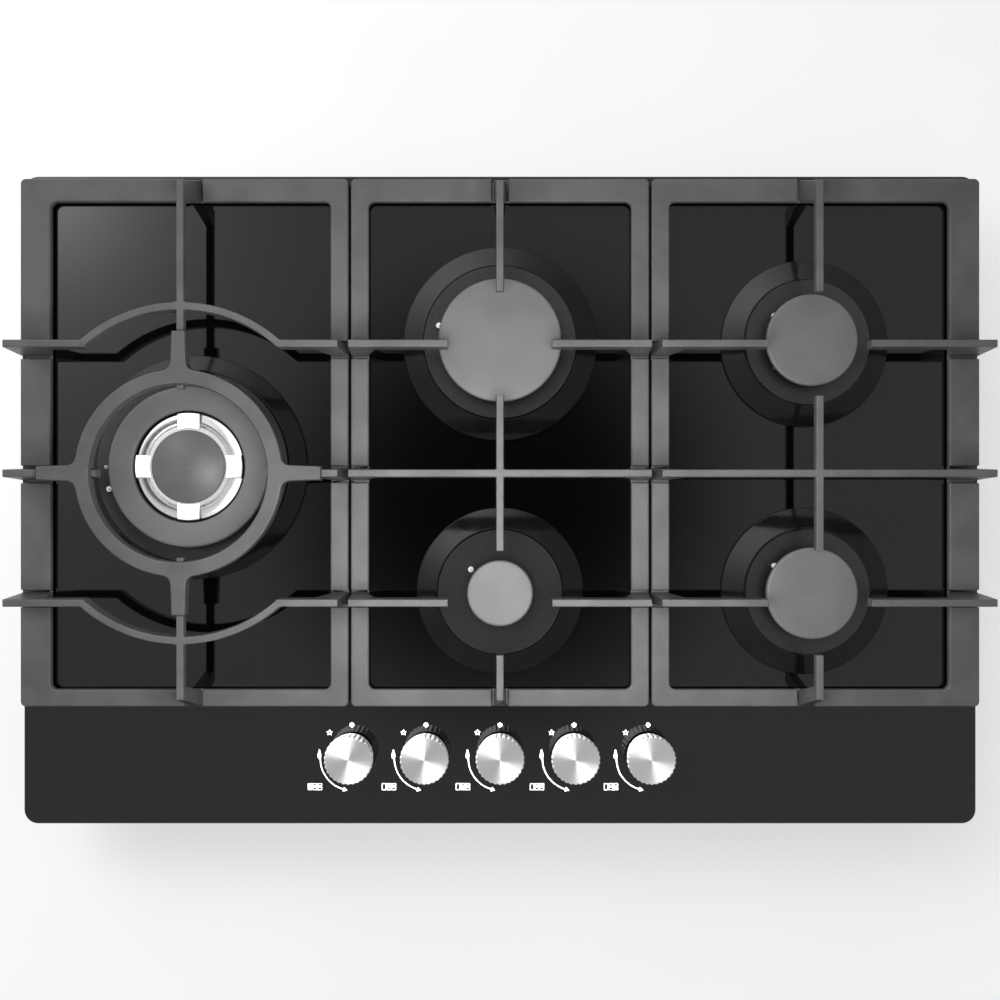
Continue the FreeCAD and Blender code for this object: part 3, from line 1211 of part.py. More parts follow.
def burner_tubes():
    """Aluminium tubes from the taps to the jets, with a union nut at each end."""
    pieces = []
    for i, b in enumerate(BURNERS):
        start = KNOB_Y + NOZZLE_LENGTH
        end = b["y"] - JET_BLOCK / 2
        points = [(KNOB_X[i], start, GAS_HEIGHT)] + [(x, y, GAS_HEIGHT) for x, y in tube_plan(i)]
        points.append((b["x"], end, GAS_HEIGHT))
        tube = pipe(points, TUBE_BEND, TUBE_RADIUS)
        nuts = [rod_y(KNOB_X[i], GAS_HEIGHT, NUT_RADIUS, start, start + NUT_LENGTH),
                rod_y(b["x"], GAS_HEIGHT, NUT_RADIUS, end - NUT_LENGTH, end)]
        bore = pipe(points, TUBE_BEND, TUBE_RADIUS - TUBE_WALL)
        pieces.append(joined([tube] + nuts).cut(bore))
    return group(pieces)


def cable_gland():
    """Gland for the mains lead in the rear wall of the tray."""
    wall = TRAY_DEPTH / 2
    back = wall - TRAY_SHEET
    body = joined([rod_y(GLAND_X, GLAND_HEIGHT, GLAND_NECK, back - GLAND_BACK, wall + OVER),
                   rod_y(GLAND_X, GLAND_HEIGHT, GLAND_HEAD, back - GLAND_BACK, back),
                   rod_y(GLAND_X, GLAND_HEIGHT, GLAND_HEAD, wall, wall + GLAND_HEAD_LENGTH)])
    outer_end = wall + GLAND_HEAD_LENGTH
    return body.cut(rod_y(GLAND_X, GLAND_HEIGHT, GLAND_BORE, back - GLAND_BACK - OVER, outer_end + OVER))


def clamp_sides():
    return [(side, y) for side in (-1, 1) for y in (-CLAMP_Y, CLAMP_Y)]


def worktop_clamps():
    """Bent brackets on the tray's side walls that reach under the worktop."""
    wall = TRAY_WIDTH / 2
    pieces = []
    for side, y in clamp_sides():
        inside, outside = wall, wall + CLAMP_SHEET
        far = outside + CLAMP_REACH
        plan = [(inside, CLAMP_LOW), (far, CLAMP_LOW), (far, CLAMP_LOW + CLAMP_TOE),
                (far - CLAMP_SHEET, CLAMP_LOW + CLAMP_TOE), (far - CLAMP_SHEET, CLAMP_LOW + CLAMP_SHEET),
                (outside, CLAMP_LOW + CLAMP_SHEET), (outside, CLAMP_HIGH), (inside, CLAMP_HIGH)]
        wire = outline(plan, lambda u, z: vec(side * u, y - CLAMP_WIDTH / 2, z))
        bracket = Part.Face(wire).extrude(vec(0, CLAMP_WIDTH, 0))
        low, high = sorted((side * (inside - OVER), side * (outside + OVER)))
        pieces.append(bracket.cut(rod_x(y, CLAMP_SCREW_HEIGHT, SCREW_RADIUS + SCREW_CLEAR, low, high)))
    return group(pieces)


def clamp_screws():
    wall = TRAY_WIDTH / 2
    pieces = []
    for side, y in clamp_sides():
        seat = wall + CLAMP_SHEET
        shank = sorted((side * (seat - CLAMP_SCREW_REACH), side * seat))
        head = sorted((side * seat, side * (seat + SCREW_HEAD_THICK)))
        pieces.append(joined([rod_x(y, CLAMP_SCREW_HEIGHT, SCREW_RADIUS, shank[0], shank[1]),
                              rod_x(y, CLAMP_SCREW_HEIGHT, SCREW_HEAD, head[0], head[1])]))
    return pieces


# ---------------------------------------------------------------- the assembly
def assembly():
    """Every piece of the cooktop, by name."""
    parts = {"glass_panel": glass_panel(), "worktop_seal": worktop_seal(), "bottom_tray": bottom_tray()}

    spans = {"left": (-SUPPORT_OUTER, -SUPPORT_INNER, RAIL_OUTER, RAIL_INNER),
             "centre": (-CENTRE_HALF_WIDTH, CENTRE_HALF_WIDTH, RAIL_INNER, RAIL_INNER),
             "right": (SUPPORT_INNER, SUPPORT_OUTER, RAIL_INNER, RAIL_OUTER)}
    parts["left_pan_support"] = wok_support(*spans["left"], -COLUMN)
    parts["centre_pan_support"] = two_burner_support(*spans["centre"], 0.0)
    parts["right_pan_support"] = two_burner_support(*spans["right"], COLUMN)
    for name, span in spans.items():
        parts[name + "_support_feet"] = rubber_feet(foot_places(*span))
    parts["wok_ring"] = wok_ring(-COLUMN, ROWS[1])

    for b in BURNERS:
        parts[b["name"] + "_dish"] = burner_dish(b)
        parts[b["name"] + "_base"] = burner_base(b)
        if b is not WOK_BURNER:
            parts[b["name"] + "_spreader"] = flame_spreader(b)
            parts[b["name"] + "_cap"] = burner_cap(b)
    parts["wok_spreader"] = wok_spreader(WOK_BURNER)
    parts["wok_inner_crown"] = wok_inner_crown(WOK_BURNER)
    parts["wok_outer_cap"] = wok_outer_cap(WOK_BURNER)
    parts["wok_inner_cap"] = wok_inner_cap(WOK_BURNER)

    for i in range(KNOB_COUNT):
        parts["knob_%d" % (i + 1)] = knob(i)
        parts["spindle_%d" % (i + 1)] = spindle(i)
        parts["tap_plug_%d" % (i + 1)] = tap_plug(i)
    parts["tap_bodies"] = group([tap_body(i) for i in range(KNOB_COUNT)])
    parts["knob_grommets"] = knob_grommets()
    parts["gas_manifold"] = gas_manifold()
    parts["gas_inlet"] = gas_inlet()
    parts["burner_tubes"] = burner_tubes()
    parts["jets"] = jets()
    parts["spark_electrodes"] = spark_electrodes()
    parts["thermocouples"] = thermocouples()
    parts["ignition_module"] = ignition_module()
    parts["ignition_leads"] = ignition_leads()
    parts["worktop_clamps"] = worktop_clamps()
    parts["screws"] = group(burner_screws() + clamp_screws())
    parts["cable_gland"] = cable_gland()
    return parts


os.makedirs("parts", exist_ok=True)
for part_name, shape in assembly().items():
    shape.exportStep("parts/" + part_name + ".step")
    print(part_name, "solids", len(shape.Solids), "faces", len(shape.Faces), "valid", shape.isValid())
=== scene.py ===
# %% [markdown]
# # A built-in gas cooktop, seen from above
# The cooktop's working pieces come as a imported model, already at their real size. This lesson
# dresses them: every surface gets its finish, and the pieces that the eye rests on are made
# again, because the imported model's facets and sharp edges would show under studio light. Castings
# and glass become copies with rounded edges. Dishes, caps, the chrome crown and the knobs are
# worked out as smooth surfaces with numpy.

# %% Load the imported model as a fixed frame
import json
import math

import bmesh
import bpy
import numpy as np
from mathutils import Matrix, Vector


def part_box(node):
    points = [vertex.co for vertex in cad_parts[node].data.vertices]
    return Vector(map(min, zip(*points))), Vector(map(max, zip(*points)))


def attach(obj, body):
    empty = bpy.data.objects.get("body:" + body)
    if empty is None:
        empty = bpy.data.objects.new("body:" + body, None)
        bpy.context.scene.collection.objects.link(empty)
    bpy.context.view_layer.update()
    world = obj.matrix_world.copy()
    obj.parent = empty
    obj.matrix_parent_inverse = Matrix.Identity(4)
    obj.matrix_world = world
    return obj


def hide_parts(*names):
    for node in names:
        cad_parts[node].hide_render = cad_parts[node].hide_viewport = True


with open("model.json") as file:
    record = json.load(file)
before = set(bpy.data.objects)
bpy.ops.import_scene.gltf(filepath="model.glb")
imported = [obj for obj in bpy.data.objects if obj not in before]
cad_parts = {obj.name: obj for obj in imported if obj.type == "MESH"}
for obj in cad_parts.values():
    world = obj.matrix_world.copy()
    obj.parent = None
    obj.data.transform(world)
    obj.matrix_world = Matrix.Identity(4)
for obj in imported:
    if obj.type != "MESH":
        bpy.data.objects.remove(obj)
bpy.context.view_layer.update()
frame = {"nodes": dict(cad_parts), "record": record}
scene = bpy.context.scene
MM = 0.001

# %% [markdown]
# ## Where things are
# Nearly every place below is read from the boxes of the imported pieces. The top of the glass is
# the height that the photographed layout is drawn on, and each burner's centre is the middle of
# its cap.

# %% Heights and centres from the frame
GLASS_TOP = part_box("glass_panel")[1].z
BURNERS = ("wok", "rear_centre", "front_centre", "rear_right", "front_right")
CAP_OF = {name: name + "_cap" for name in BURNERS[1:]}
CAP_OF["wok"] = "wok_outer_cap"


def middle(node):
    """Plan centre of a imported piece: the middle of its box."""
    low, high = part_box(node)
    return (low.x + high.x) / 2, (low.y + high.y) / 2


CENTRE = {name: middle(CAP_OF[name]) for name in BURNERS}
KNOBS = [middle("knob_%d" % number) for number in range(1, 6)]
print("glass top", round(GLASS_TOP, 4))
print("burners", {name: (round(x, 3), round(y, 3)) for name, (x, y) in CENTRE.items()})

# %% [markdown]
# ## The camera
# The photograph looks straight down on the middle of the glass: the sides of all the bars run
# towards one point, which is the one under the lens. Bars 46 mm over the glass look 5.6% larger
# than their feet, which puts the lens 873 mm above the glass. The focal length then follows from
# the glass's width in the picture.

# %% Camera straight above the glass
LENS_HEIGHT = 0.873
LENS_MM = 39.9
SENSOR_MM = 36.0
camera = bpy.data.objects.new("camera", bpy.data.cameras.new("camera"))
camera.data.lens = LENS_MM
camera.data.sensor_width = SENSOR_MM
camera.data.clip_start = 0.01
camera.location = (0.0, 0.0, GLASS_TOP + LENS_HEIGHT)
scene.collection.objects.link(camera)
scene.camera = camera
print("lens", LENS_MM, "mm,", LENS_HEIGHT, "m above the glass")

# %% [markdown]
# ## Helpers for node trees
# The sky and every finish are node trees, and the same few nodes come back in all of them. Four
# small functions add a node, feed a socket, do one step of arithmetic and map a range, so that a
# tree below reads like a formula.


# %% Node helpers shared by the sky and the finishes
def node(tree, kind, *values, **links):
    """Add a shader node, set inputs by position, and link or set inputs by name."""
    made = tree.nodes.new(kind)
    for index, value in enumerate(values):
        plug(tree, made.inputs[index], value)
    for name, value in links.items():
        plug(tree, made.inputs[name.replace("_", " ")], value)
    return made


def plug(tree, socket, value):
    """Feed a socket from another socket, or set it to a constant."""
    if isinstance(value, bpy.types.NodeSocket):
        tree.links.new(value, socket)
    elif value is not None:
        socket.default_value = value


def maths(tree, operation, a, b):
    """One step of arithmetic on sockets or numbers."""
    made = tree.nodes.new("ShaderNodeMath")
    made.operation = operation
    plug(tree, made.inputs[0], a)
    plug(tree, made.inputs[1], b)
    return made.outputs[0]


def ramp(tree, value, low, high, out_low=0.0, out_high=1.0):
    """Smoothly map a value's range from low..high to out_low..out_high."""
    made = tree.nodes.new("ShaderNodeMapRange")
    made.interpolation_type = "SMOOTHSTEP"
    for index, number in enumerate((value, low, high, out_low, out_high)):
        plug(tree, made.inputs[index], number)
    return made.outputs[0]


# %% [markdown]
# ## The studio sky
# Black glass shows the room above it, so the sky of the studio is drawn as much as it is
# brightened: nearly black straight overhead, where the camera hangs, and an even grey round that.
# Two soft patches to the upper left give the glass its grey veil, and a broad one lower down,
# outside the glass's mirror view, lights the castings from that side.


# %% Radiance by direction
def aim(azimuth, tilt):
    """Unit vector at an azimuth (degrees from +X) and a tilt from straight up."""
    a, t = math.radians(azimuth), math.radians(tilt)
    return math.sin(t) * math.cos(a), math.sin(t) * math.sin(a), math.cos(t)


def lobe(tree, direction, azimuth, tilt, sharpness, strength):
    """Soft patch of sky: strength * max(cos of the angle to its middle, 0) ** sharpness."""
    towards = tree.nodes.new("ShaderNodeVectorMath")
    towards.operation = "DOT_PRODUCT"
    plug(tree, towards.inputs[0], direction)
    towards.inputs[1].default_value = aim(azimuth, tilt)
    facing = maths(tree, "MAXIMUM", towards.outputs["Value"], 0.0)
    return maths(tree, "MULTIPLY", maths(tree, "POWER", facing, sharpness), strength)


def studio_sky():
    """Radiance by direction: dark round the zenith, where the camera hangs, an even grey from a
    tilt of 14 degrees on, a little less near the horizon, and three soft patches to the upper
    left. A height is the cosine of the tilt from straight up."""
    zenith_level, even_level, horizon_level = 0.02, 0.62, 0.42
    world = bpy.data.worlds.new("studio_sky")
    world.use_nodes = True
    tree = world.node_tree
    tree.nodes.clear()
    direction = node(tree, "ShaderNodeTexCoord").outputs["Generated"]
    height = node(tree, "ShaderNodeSeparateXYZ", direction).outputs["Z"]
    near = ramp(tree, height, 0.9995, 0.969, zenith_level, even_level)
    far = ramp(tree, height, 0.88, 0.45, 0.0, horizon_level - even_level)
    level = maths(tree, "ADD", near, far)
    for patch in (dict(azimuth=145, tilt=27.5, sharpness=330.0, strength=2.3),
                  dict(azimuth=149, tilt=29.0, sharpness=60.0, strength=1.15)):
        level = maths(tree, "ADD", level, lobe(tree, direction, **patch))
    broad = lobe(tree, direction, azimuth=122, tilt=54, sharpness=6.0, strength=2.8)
    level = maths(tree, "ADD", level, maths(tree, "MULTIPLY", broad, ramp(tree, height, 0.90, 0.68)))
    background = node(tree, "ShaderNodeBackground", (1.0, 1.0, 1.0, 1.0), level)
    output = node(tree, "ShaderNodeOutputWorld")
    tree.links.new(background.outputs[0], output.inputs["Surface"])
    scene.world = world


studio_sky()
scene.view_settings.view_transform = "Standard"
print("sky", scene.world.name)

# %% [markdown]
# ## Soft boxes
# A key box on the left and a low overhead box model the castings, and both are hidden from
# reflections, so the glass doesn't show them. A long box behind the left corner draws the bright
# fans on the spun knobs, and two small ones brighten the chrome crown and its dome. What suits one
# finish would spoil another, so every box but the key lights only its own group of pieces: that
# is Blender's light linking, and a group is a collection that the pieces join as they are made.


# %% Boxes and the groups they light
def soft_box(name, azimuth, tilt, distance, size, watts, over=(0.0, 0.0), lights_only=None):
    """Area light aimed at a point of the glass from an azimuth (degrees from +X) and a tilt from
    straight up. lights_only is the group of pieces that it reaches, or every piece."""
    light = bpy.data.lights.new(name, "AREA")
    light.shape = "RECTANGLE"
    light.size, light.size_y = size
    light.energy = watts
    box = bpy.data.objects.new(name, light)
    x, y, z = aim(azimuth, tilt)
    box.location = (over[0] + distance * x, over[1] + distance * y, GLASS_TOP + distance * z)
    box.rotation_euler = (0.0, math.radians(tilt), math.radians(azimuth))
    scene.collection.objects.link(box)
    if lights_only is not None:
        box.light_linking.receiver_collection = lights_only
        box.visible_camera = False
    return box


IRON_PIECES = bpy.data.collections.new("lit_by_overhead_box")
BRIGHT_PIECES = bpy.data.collections.new("lit_by_metal_box")
CROWN_PIECE = bpy.data.collections.new("lit_by_crown_box")
DOME_PIECE = bpy.data.collections.new("lit_by_dome_box")
key = soft_box("key_box", azimuth=150, tilt=58, distance=1.25, size=(0.55, 0.7), watts=9)
overhead = soft_box("overhead_box", azimuth=-90, tilt=8, distance=0.42, size=(0.30, 0.36), watts=14.5,
                    lights_only=IRON_PIECES)
key.visible_glossy = overhead.visible_glossy = False
soft_box("crown_box", azimuth=0, tilt=8, distance=0.8, size=(0.35, 0.7), watts=0.9,
         over=CENTRE["wok"], lights_only=CROWN_PIECE)
soft_box("metal_box", azimuth=133, tilt=54, distance=1.1, size=(0.45, 2.0), watts=26.0,
         over=(0.0, -0.2), lights_only=BRIGHT_PIECES)
soft_box("dome_box", azimuth=-110, tilt=3.5, distance=0.8, size=(0.22, 0.22), watts=1.0,
         over=CENTRE["wok"], lights_only=DOME_PIECE)
print("soft boxes", len(bpy.data.lights))

# %% [markdown]
# ## Finishes
# Each finish is a small node tree on the piece's own coordinates, in metres: a base colour with
# a little variation, a roughness that isn't even, and a fine bump at the scale of the real grain.
# A value that is the same all over is typed into the shader's own socket.


# %% A common start for every finish
def finish(name, base, roughness, metallic=0.0, **sockets):
    """New material with one Principled shader; returns it, its tree, the shader and coordinates."""
    material = bpy.data.materials.new(name)
    material.use_nodes = True
    tree = material.node_tree
    shader = tree.nodes["Principled BSDF"]
    shader.inputs["Base Color"].default_value = (*base, 1.0)
    shader.inputs["Roughness"].default_value = roughness
    shader.inputs["Metallic"].default_value = metallic
    for socket, value in sockets.items():
        shader.inputs[socket.replace("_", " ")].default_value = value
    where = node(tree, "ShaderNodeTexCoord").outputs["Object"]
    return material, tree, shader, where


def noise(tree, where, scale, detail=3.0, roughness=0.55, stretch=None):
    """Fractal noise in metres: scale is in grains per metre."""
    if stretch is not None:
        where = node(tree, "ShaderNodeMapping", Vector=where, Scale=stretch).outputs[0]
    made = node(tree, "ShaderNodeTexNoise", Vector=where, Scale=scale, Detail=detail, Roughness=roughness)
    return made.outputs["Fac"]


def tint(tree, shader, value, dark, light, low=0.3, high=0.7):
    """Drive the base colour between two colours by a 0 to 1 pattern."""
    mix = tree.nodes.new("ShaderNodeMix")
    mix.data_type = "RGBA"
    plug(tree, mix.inputs["Factor"], ramp(tree, value, low, high))
    mix.inputs[6].default_value = (*dark, 1.0)
    mix.inputs[7].default_value = (*light, 1.0)
    tree.links.new(mix.outputs[2], shader.inputs["Base Color"])


def grain(tree, shader, height, strength, distance):
    """Bump from a height pattern; distance is the pattern's real depth in metres."""
    bump = node(tree, "ShaderNodeBump", Height=height, Strength=strength, Distance=distance)
    tree.links.new(bump.outputs[0], shader.inputs["Normal"])


# %% [markdown]
# ## Enamel, glass and ceramic
# Vitreous enamel is glass fused on iron or steel. Its surface has the ripple of orange peel, and
# how much it shines depends on how it was fired: the dishes are glossy, the caps satin and the
# castings nearly matt. The glass is smooth all over and only wiped smears change its gloss.


# %% Enamels, glass and ceramic
def black_glass():
    """Tempered black glass: deep black, with a sharp reflection that faint smears soften."""
    material, tree, shader, where = finish("black_glass", (0.0015, 0.0015, 0.0017), 0.04, IOR=1.52)
    smears = noise(tree, where, 14.0, 4.0)
    plug(tree, shader.inputs["Roughness"], ramp(tree, smears, 0.35, 0.75, 0.03, 0.075))
    return material


def enamel(name, dark, light, rough, grains, depth, **sockets):
    """Vitreous enamel: slight mottling, orange-peel bump, and a roughness that wanders."""
    material, tree, shader, where = finish(name, light, rough[0], **sockets)
    tint(tree, shader, noise(tree, where, 38.0, 4.0), dark, light)
    plug(tree, shader.inputs["Roughness"], ramp(tree, noise(tree, where, 90.0), 0.3, 0.7, *rough))
    grain(tree, shader, noise(tree, where, grains, 2.0, 0.6), 0.6, depth)
    return material


def ceramic():
    """Glazed white ceramic of the spark electrodes, under a thin clear coat."""
    material, tree, shader, where = finish("glazed_ceramic", (0.86, 0.84, 0.8), 0.18, Coat_Weight=0.4)
    tint(tree, shader, noise(tree, where, 700.0), (0.78, 0.76, 0.71), (0.9, 0.89, 0.86))
    return material


# %% [markdown]
# ## Metals
# Most of the metals are one recipe with other numbers: colour and gloss wander together with a
# fine grain. Three need more: zinc spangle is flat crystals, the thermocouple changes from copper
# to steel at the glass, and the knobs' faces are turned on a lathe, so they spread light across
# their rings and hardly along them. That is what draws a fan of light from the middle.


# %% Metals
def bright_metal(name, dark, light, rough, scale, depth, stretch=None):
    """Bare metal: colour and roughness wander with a grain that can be drawn out in one direction."""
    material, tree, shader, where = finish(name, light, rough[0], 1.0)
    pattern = noise(tree, where, scale, 4.0, 0.6, stretch)
    tint(tree, shader, pattern, dark, light)
    plug(tree, shader.inputs["Roughness"], ramp(tree, pattern, 0.3, 0.7, *rough))
    grain(tree, shader, pattern, 0.5, depth)
    return material


def galvanised():
    """Zinc spangle: flat crystals of slightly different brightness and gloss."""
    material, tree, shader, where = finish("galvanised_sheet", (0.5, 0.51, 0.52), 0.4, 1.0)
    crystals = node(tree, "ShaderNodeTexVoronoi", Vector=where, Scale=190.0).outputs["Color"]
    value = node(tree, "ShaderNodeSeparateColor", crystals).outputs[0]
    tint(tree, shader, value, (0.38, 0.385, 0.395), (0.47, 0.475, 0.485), 0.0, 1.0)
    plug(tree, shader.inputs["Roughness"], ramp(tree, value, 0.0, 1.0, 0.32, 0.5))
    grain(tree, shader, noise(tree, where, 400.0), 0.25, 0.0002)
    return material


def copper_lead_steel_tip():
    """Thermocouple: a copper capillary below the glass and a bright steel probe above it."""
    material, tree, shader, where = finish("copper_sheath", (0.7, 0.42, 0.28), 0.32, 1.0)
    height = node(tree, "ShaderNodeSeparateXYZ", where).outputs["Z"]
    tint(tree, shader, height, (0.68, 0.40, 0.26), (0.80, 0.80, 0.79), GLASS_TOP - 0.004, GLASS_TOP)
    drawn = noise(tree, where, 800.0)
    plug(tree, shader.inputs["Roughness"], ramp(tree, drawn, 0.3, 0.7, 0.25, 0.4))
    grain(tree, shader, drawn, 0.5, 0.00003)
    return material


def spun_metal():
    """Lathe-turned face: fine rings along the turning map's first axis, and a sheen that spreads
    across the rings, so that light shows as radial fans."""
    material, tree, shader, _ = finish("spun_knob_metal", (0.9, 0.9, 0.91), 0.46, 1.0, Anisotropic=0.93)
    along = node(tree, "ShaderNodeUVMap")
    along.uv_map = "turning"
    flat = node(tree, "ShaderNodeMapping", Vector=along.outputs[0], Scale=(1.0, 0.002, 0.0)).outputs[0]
    rings = noise(tree, flat, 900.0, 2.0)
    tint(tree, shader, rings, (0.84, 0.84, 0.85), (0.94, 0.94, 0.95))
    plug(tree, shader.inputs["Roughness"], ramp(tree, rings, 0.3, 0.7, 0.42, 0.5))
    tangent = tree.nodes.new("ShaderNodeTangent")
    tangent.direction_type = "UV_MAP"
    tangent.uv_map = "turning"
    tree.links.new(tangent.outputs[0], shader.inputs["Tangent"])
    return material


# %% [markdown]
# ## Dull materials
# Rubber, foam, moulded plastic and the leads' silicone share one recipe: a fine even texture that
# changes the colour slightly and roughens the surface, with one roughness all over.


# %% Rubber, foam, plastic and leads
def dull(name, dark, light, rough, scale, depth):
    """Moulded or extruded material with a fine even texture."""
    material, tree, shader, where = finish(name, light, rough)
    pattern = noise(tree, where, scale, 3.0)
    tint(tree, shader, pattern, dark, light)
    grain(tree, shader, pattern, 0.5, depth)
    return material


# %% [markdown]
# ## A finish for every slot
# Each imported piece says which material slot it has, and the table below gives every slot its
# finish. The values of a row are the darkest and the lightest colour, the roughness (for metal and
# enamel its lowest and highest), the grains in a metre and the depth of the grain in metres. Black
# enamel isn't pure black: the colour of the caps is nearly three hundredths of white, and that of
# the dishes is under one hundredth.

# %% Name the finishes
CASTING = enamel("matt_enamel_on_iron", (0.019, 0.019, 0.0195), (0.025, 0.025, 0.0255),
                 (0.38, 0.48), 1500.0, 0.00010)
# The wok ring gets the castings' enamel made a little darker: this is painted shade on the ring, not a
# different enamel.
WOK_RING_SHADED_ENAMEL = enamel("matt_enamel_darkened_as_shade_on_wok_ring", (0.016, 0.016, 0.0165), (0.021, 0.021, 0.0215),
                  (0.38, 0.48), 1500.0, 0.00010)
DOME = enamel("dark_satin_dome", (0.018, 0.018, 0.0185), (0.022, 0.022, 0.0225),
              (0.24, 0.30), 1200.0, 0.00002)
SATIN_CHROME = bright_metal("satin_chrome", (0.88, 0.88, 0.89), (0.94, 0.94, 0.95),
                            (0.34, 0.38), 600.0, 0.000004)
ALONG_Z = (1.0, 1.0, 0.05)
FINISHES = {
    "black_glass": black_glass(),
    "enamelled_iron": CASTING,
    "dish_enamel": enamel("gloss_enamel_dish", (0.005, 0.005, 0.0055), (0.008, 0.008, 0.0085),
                          (0.10, 0.16), 500.0, 0.000015, Specular_IOR_Level=0.27),
    "cap_enamel": enamel("satin_enamel_cap", (0.025, 0.025, 0.0255), (0.029, 0.029, 0.0295),
                         (0.42, 0.5), 1800.0, 0.00006),
    "spreader_alloy": bright_metal("heat_darkened_alloy", (0.055, 0.055, 0.056),
                                   (0.085, 0.085, 0.086), (0.38, 0.5), 900.0, 0.0001),
    "chrome_crown": bright_metal("chrome_plate", (0.87, 0.87, 0.88), (0.91, 0.91, 0.92),
                                 (0.19, 0.23), 300.0, 0.000002),
    "knob_metal": spun_metal(),
    "spindle_steel": bright_metal("drawn_steel", (0.5, 0.5, 0.5), (0.6, 0.6, 0.6),
                                  (0.25, 0.35), 900.0, 0.00003, ALONG_Z),
    "bracket_steel": bright_metal("zinc_plated_steel", (0.52, 0.52, 0.5), (0.66, 0.66, 0.63),
                                  (0.3, 0.42), 500.0, 0.00004),
    "tap_brass": bright_metal("machined_brass", (0.66, 0.47, 0.2), (0.78, 0.6, 0.3),
                              (0.22, 0.36), 700.0, 0.00004),
    "pipe_alloy": bright_metal("drawn_aluminium", (0.58, 0.59, 0.6), (0.7, 0.7, 0.71),
                               (0.28, 0.4), 600.0, 0.00004),
    "die_cast_base": bright_metal("die_cast_aluminium", (0.42, 0.42, 0.43), (0.55, 0.55, 0.56),
                                  (0.42, 0.6), 900.0, 0.0001),
    "thermocouple_copper": copper_lead_steel_tip(),
    "tray_steel": galvanised(),
    "ceramic": ceramic(),
    "seal_foam": dull("foam_tape", (0.03, 0.03, 0.03), (0.055, 0.055, 0.055),
                      0.9, 1400.0, 0.0003),
    "foot_rubber": dull("silicone_rubber", (0.018, 0.018, 0.018), (0.03, 0.03, 0.03),
                        0.6, 1200.0, 0.00008),
    "module_plastic": dull("moulded_plastic", (0.03, 0.03, 0.031), (0.05, 0.05, 0.052),
                           0.45, 1600.0, 0.00006),
    "lead_silicone": dull("silicone_lead", (0.6, 0.58, 0.53), (0.72, 0.7, 0.66),
                          0.5, 900.0, 0.00005),
}
SLOT_OF = {part["node"]: part["material_slot"] for part in frame["record"]["subparts"]}
BODY_OF = {name: body for body, names in frame["record"]["behaviour"]["bodies"].items() for name in names}
for name, slot in SLOT_OF.items():
    piece = frame["nodes"][name]
    piece.data.materials.clear()
    piece.data.materials.append(FINISHES[slot])
print("finishes", len(FINISHES), "nodes dressed", len(SLOT_OF))

# %% [markdown]
# ## Castings, pressings and the glass
# These pieces have the right shape already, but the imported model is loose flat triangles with
# knife edges. Each one is copied, its triangles are joined and its flat faces made whole, and a
# bevel rounds every edge: a thin line of light along an edge is what makes it look cast, pressed
# or ground. Normals are then weighted by face area, so flats stay flat while the rounded edges
# catch light. A bevel can throw a long spike where faces meet in a sliver, so its points are kept
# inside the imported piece's own box.


# %% Joined copies with rounded edges
GROUP_OF_SLOT = {"enamelled_iron": IRON_PIECES, "cap_enamel": IRON_PIECES,
                 "knob_metal": BRIGHT_PIECES, "chrome_crown": CROWN_PIECE}


def placed(name, mesh):
    """New object of a mesh, at the origin."""
    piece = bpy.data.objects.new(name, mesh)
    scene.collection.objects.link(piece)
    return piece


def stand_in(piece, name, finish_of=None):
    """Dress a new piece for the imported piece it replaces: body, slot, finish and light group."""
    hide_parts(name)
    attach(piece, BODY_OF[name])
    piece.data.materials.clear()
    piece.data.materials.append(finish_of or FINISHES[SLOT_OF[name]])
    if SLOT_OF[name] in GROUP_OF_SLOT:
        GROUP_OF_SLOT[SLOT_OF[name]].objects.link(piece)
    if finish_of is DOME:
        DOME_PIECE.objects.link(piece)
    print(piece.name, "faces", len(piece.data.polygons))
    return piece


def softened(name, width, steps=2, angle=30.0, flat=0.5, weld=0.02 * MM):
    """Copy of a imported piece: corners closer than weld are joined, faces within flat degrees are
    made one, edges sharper than angle are rounded to width, and the rounded mesh is made real so
    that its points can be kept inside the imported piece's box."""
    work = bmesh.new()
    work.from_mesh(frame["nodes"][name].data)
    bmesh.ops.remove_doubles(work, verts=work.verts, dist=weld)
    bmesh.ops.dissolve_limit(work, angle_limit=math.radians(flat), verts=work.verts,
                             edges=work.edges)
    mesh = bpy.data.meshes.new("soft_" + name)
    work.to_mesh(mesh)
    work.free()
    mesh.shade_smooth()
    piece = placed("soft_" + name, mesh)
    bevel = piece.modifiers.new("rounded_edges", "BEVEL")
    bevel.width = width
    bevel.segments = steps
    bevel.limit_method = "ANGLE"
    bevel.angle_limit = math.radians(angle)
    bevel.use_clamp_overlap = False
    bpy.context.view_layer.update()
    evaluated = piece.evaluated_get(bpy.context.evaluated_depsgraph_get())
    mesh = bpy.data.meshes.new_from_object(evaluated)
    points = np.empty(len(mesh.vertices) * 3, np.float32)
    mesh.vertices.foreach_get("co", points)
    low, high = (np.array(corner, np.float32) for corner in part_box(name))
    mesh.vertices.foreach_set("co", np.clip(points.reshape(-1, 3), low, high).ravel())
    piece.modifiers.clear()
    piece.data = mesh
    flats = piece.modifiers.new("flat_faces", "WEIGHTED_NORMAL")
    flats.mode = "FACE_AREA"
    flats.weight = 100
    # The wok ring takes the darker copy of the castings' enamel, which is painted shade.
    return stand_in(piece, name, WOK_RING_SHADED_ENAMEL if name == "wok_ring" else None)


EDGES = {
    "left_pan_support": 0.0004, "centre_pan_support": 0.0004, "right_pan_support": 0.0004,
    "wok_ring": 0.0007, "glass_panel": 0.0004,
}
EDGES.update({name + "_spreader": 0.0002 for name in BURNERS})
for name, width in EDGES.items():
    softened(name, width)

# %% [markdown]
# ## Turned pieces
# Caps and knobs are turned shapes: one outline carried round a vertical axis. The outline is
# written as corners, and every corner that has a radius becomes a tangent arc, so a rounded rim is
# one number. Two extra points just outside each arc hold the flat faces flat when shading is
# smooth.


# %% Outlines and surfaces of revolution
HOLD = 1.25


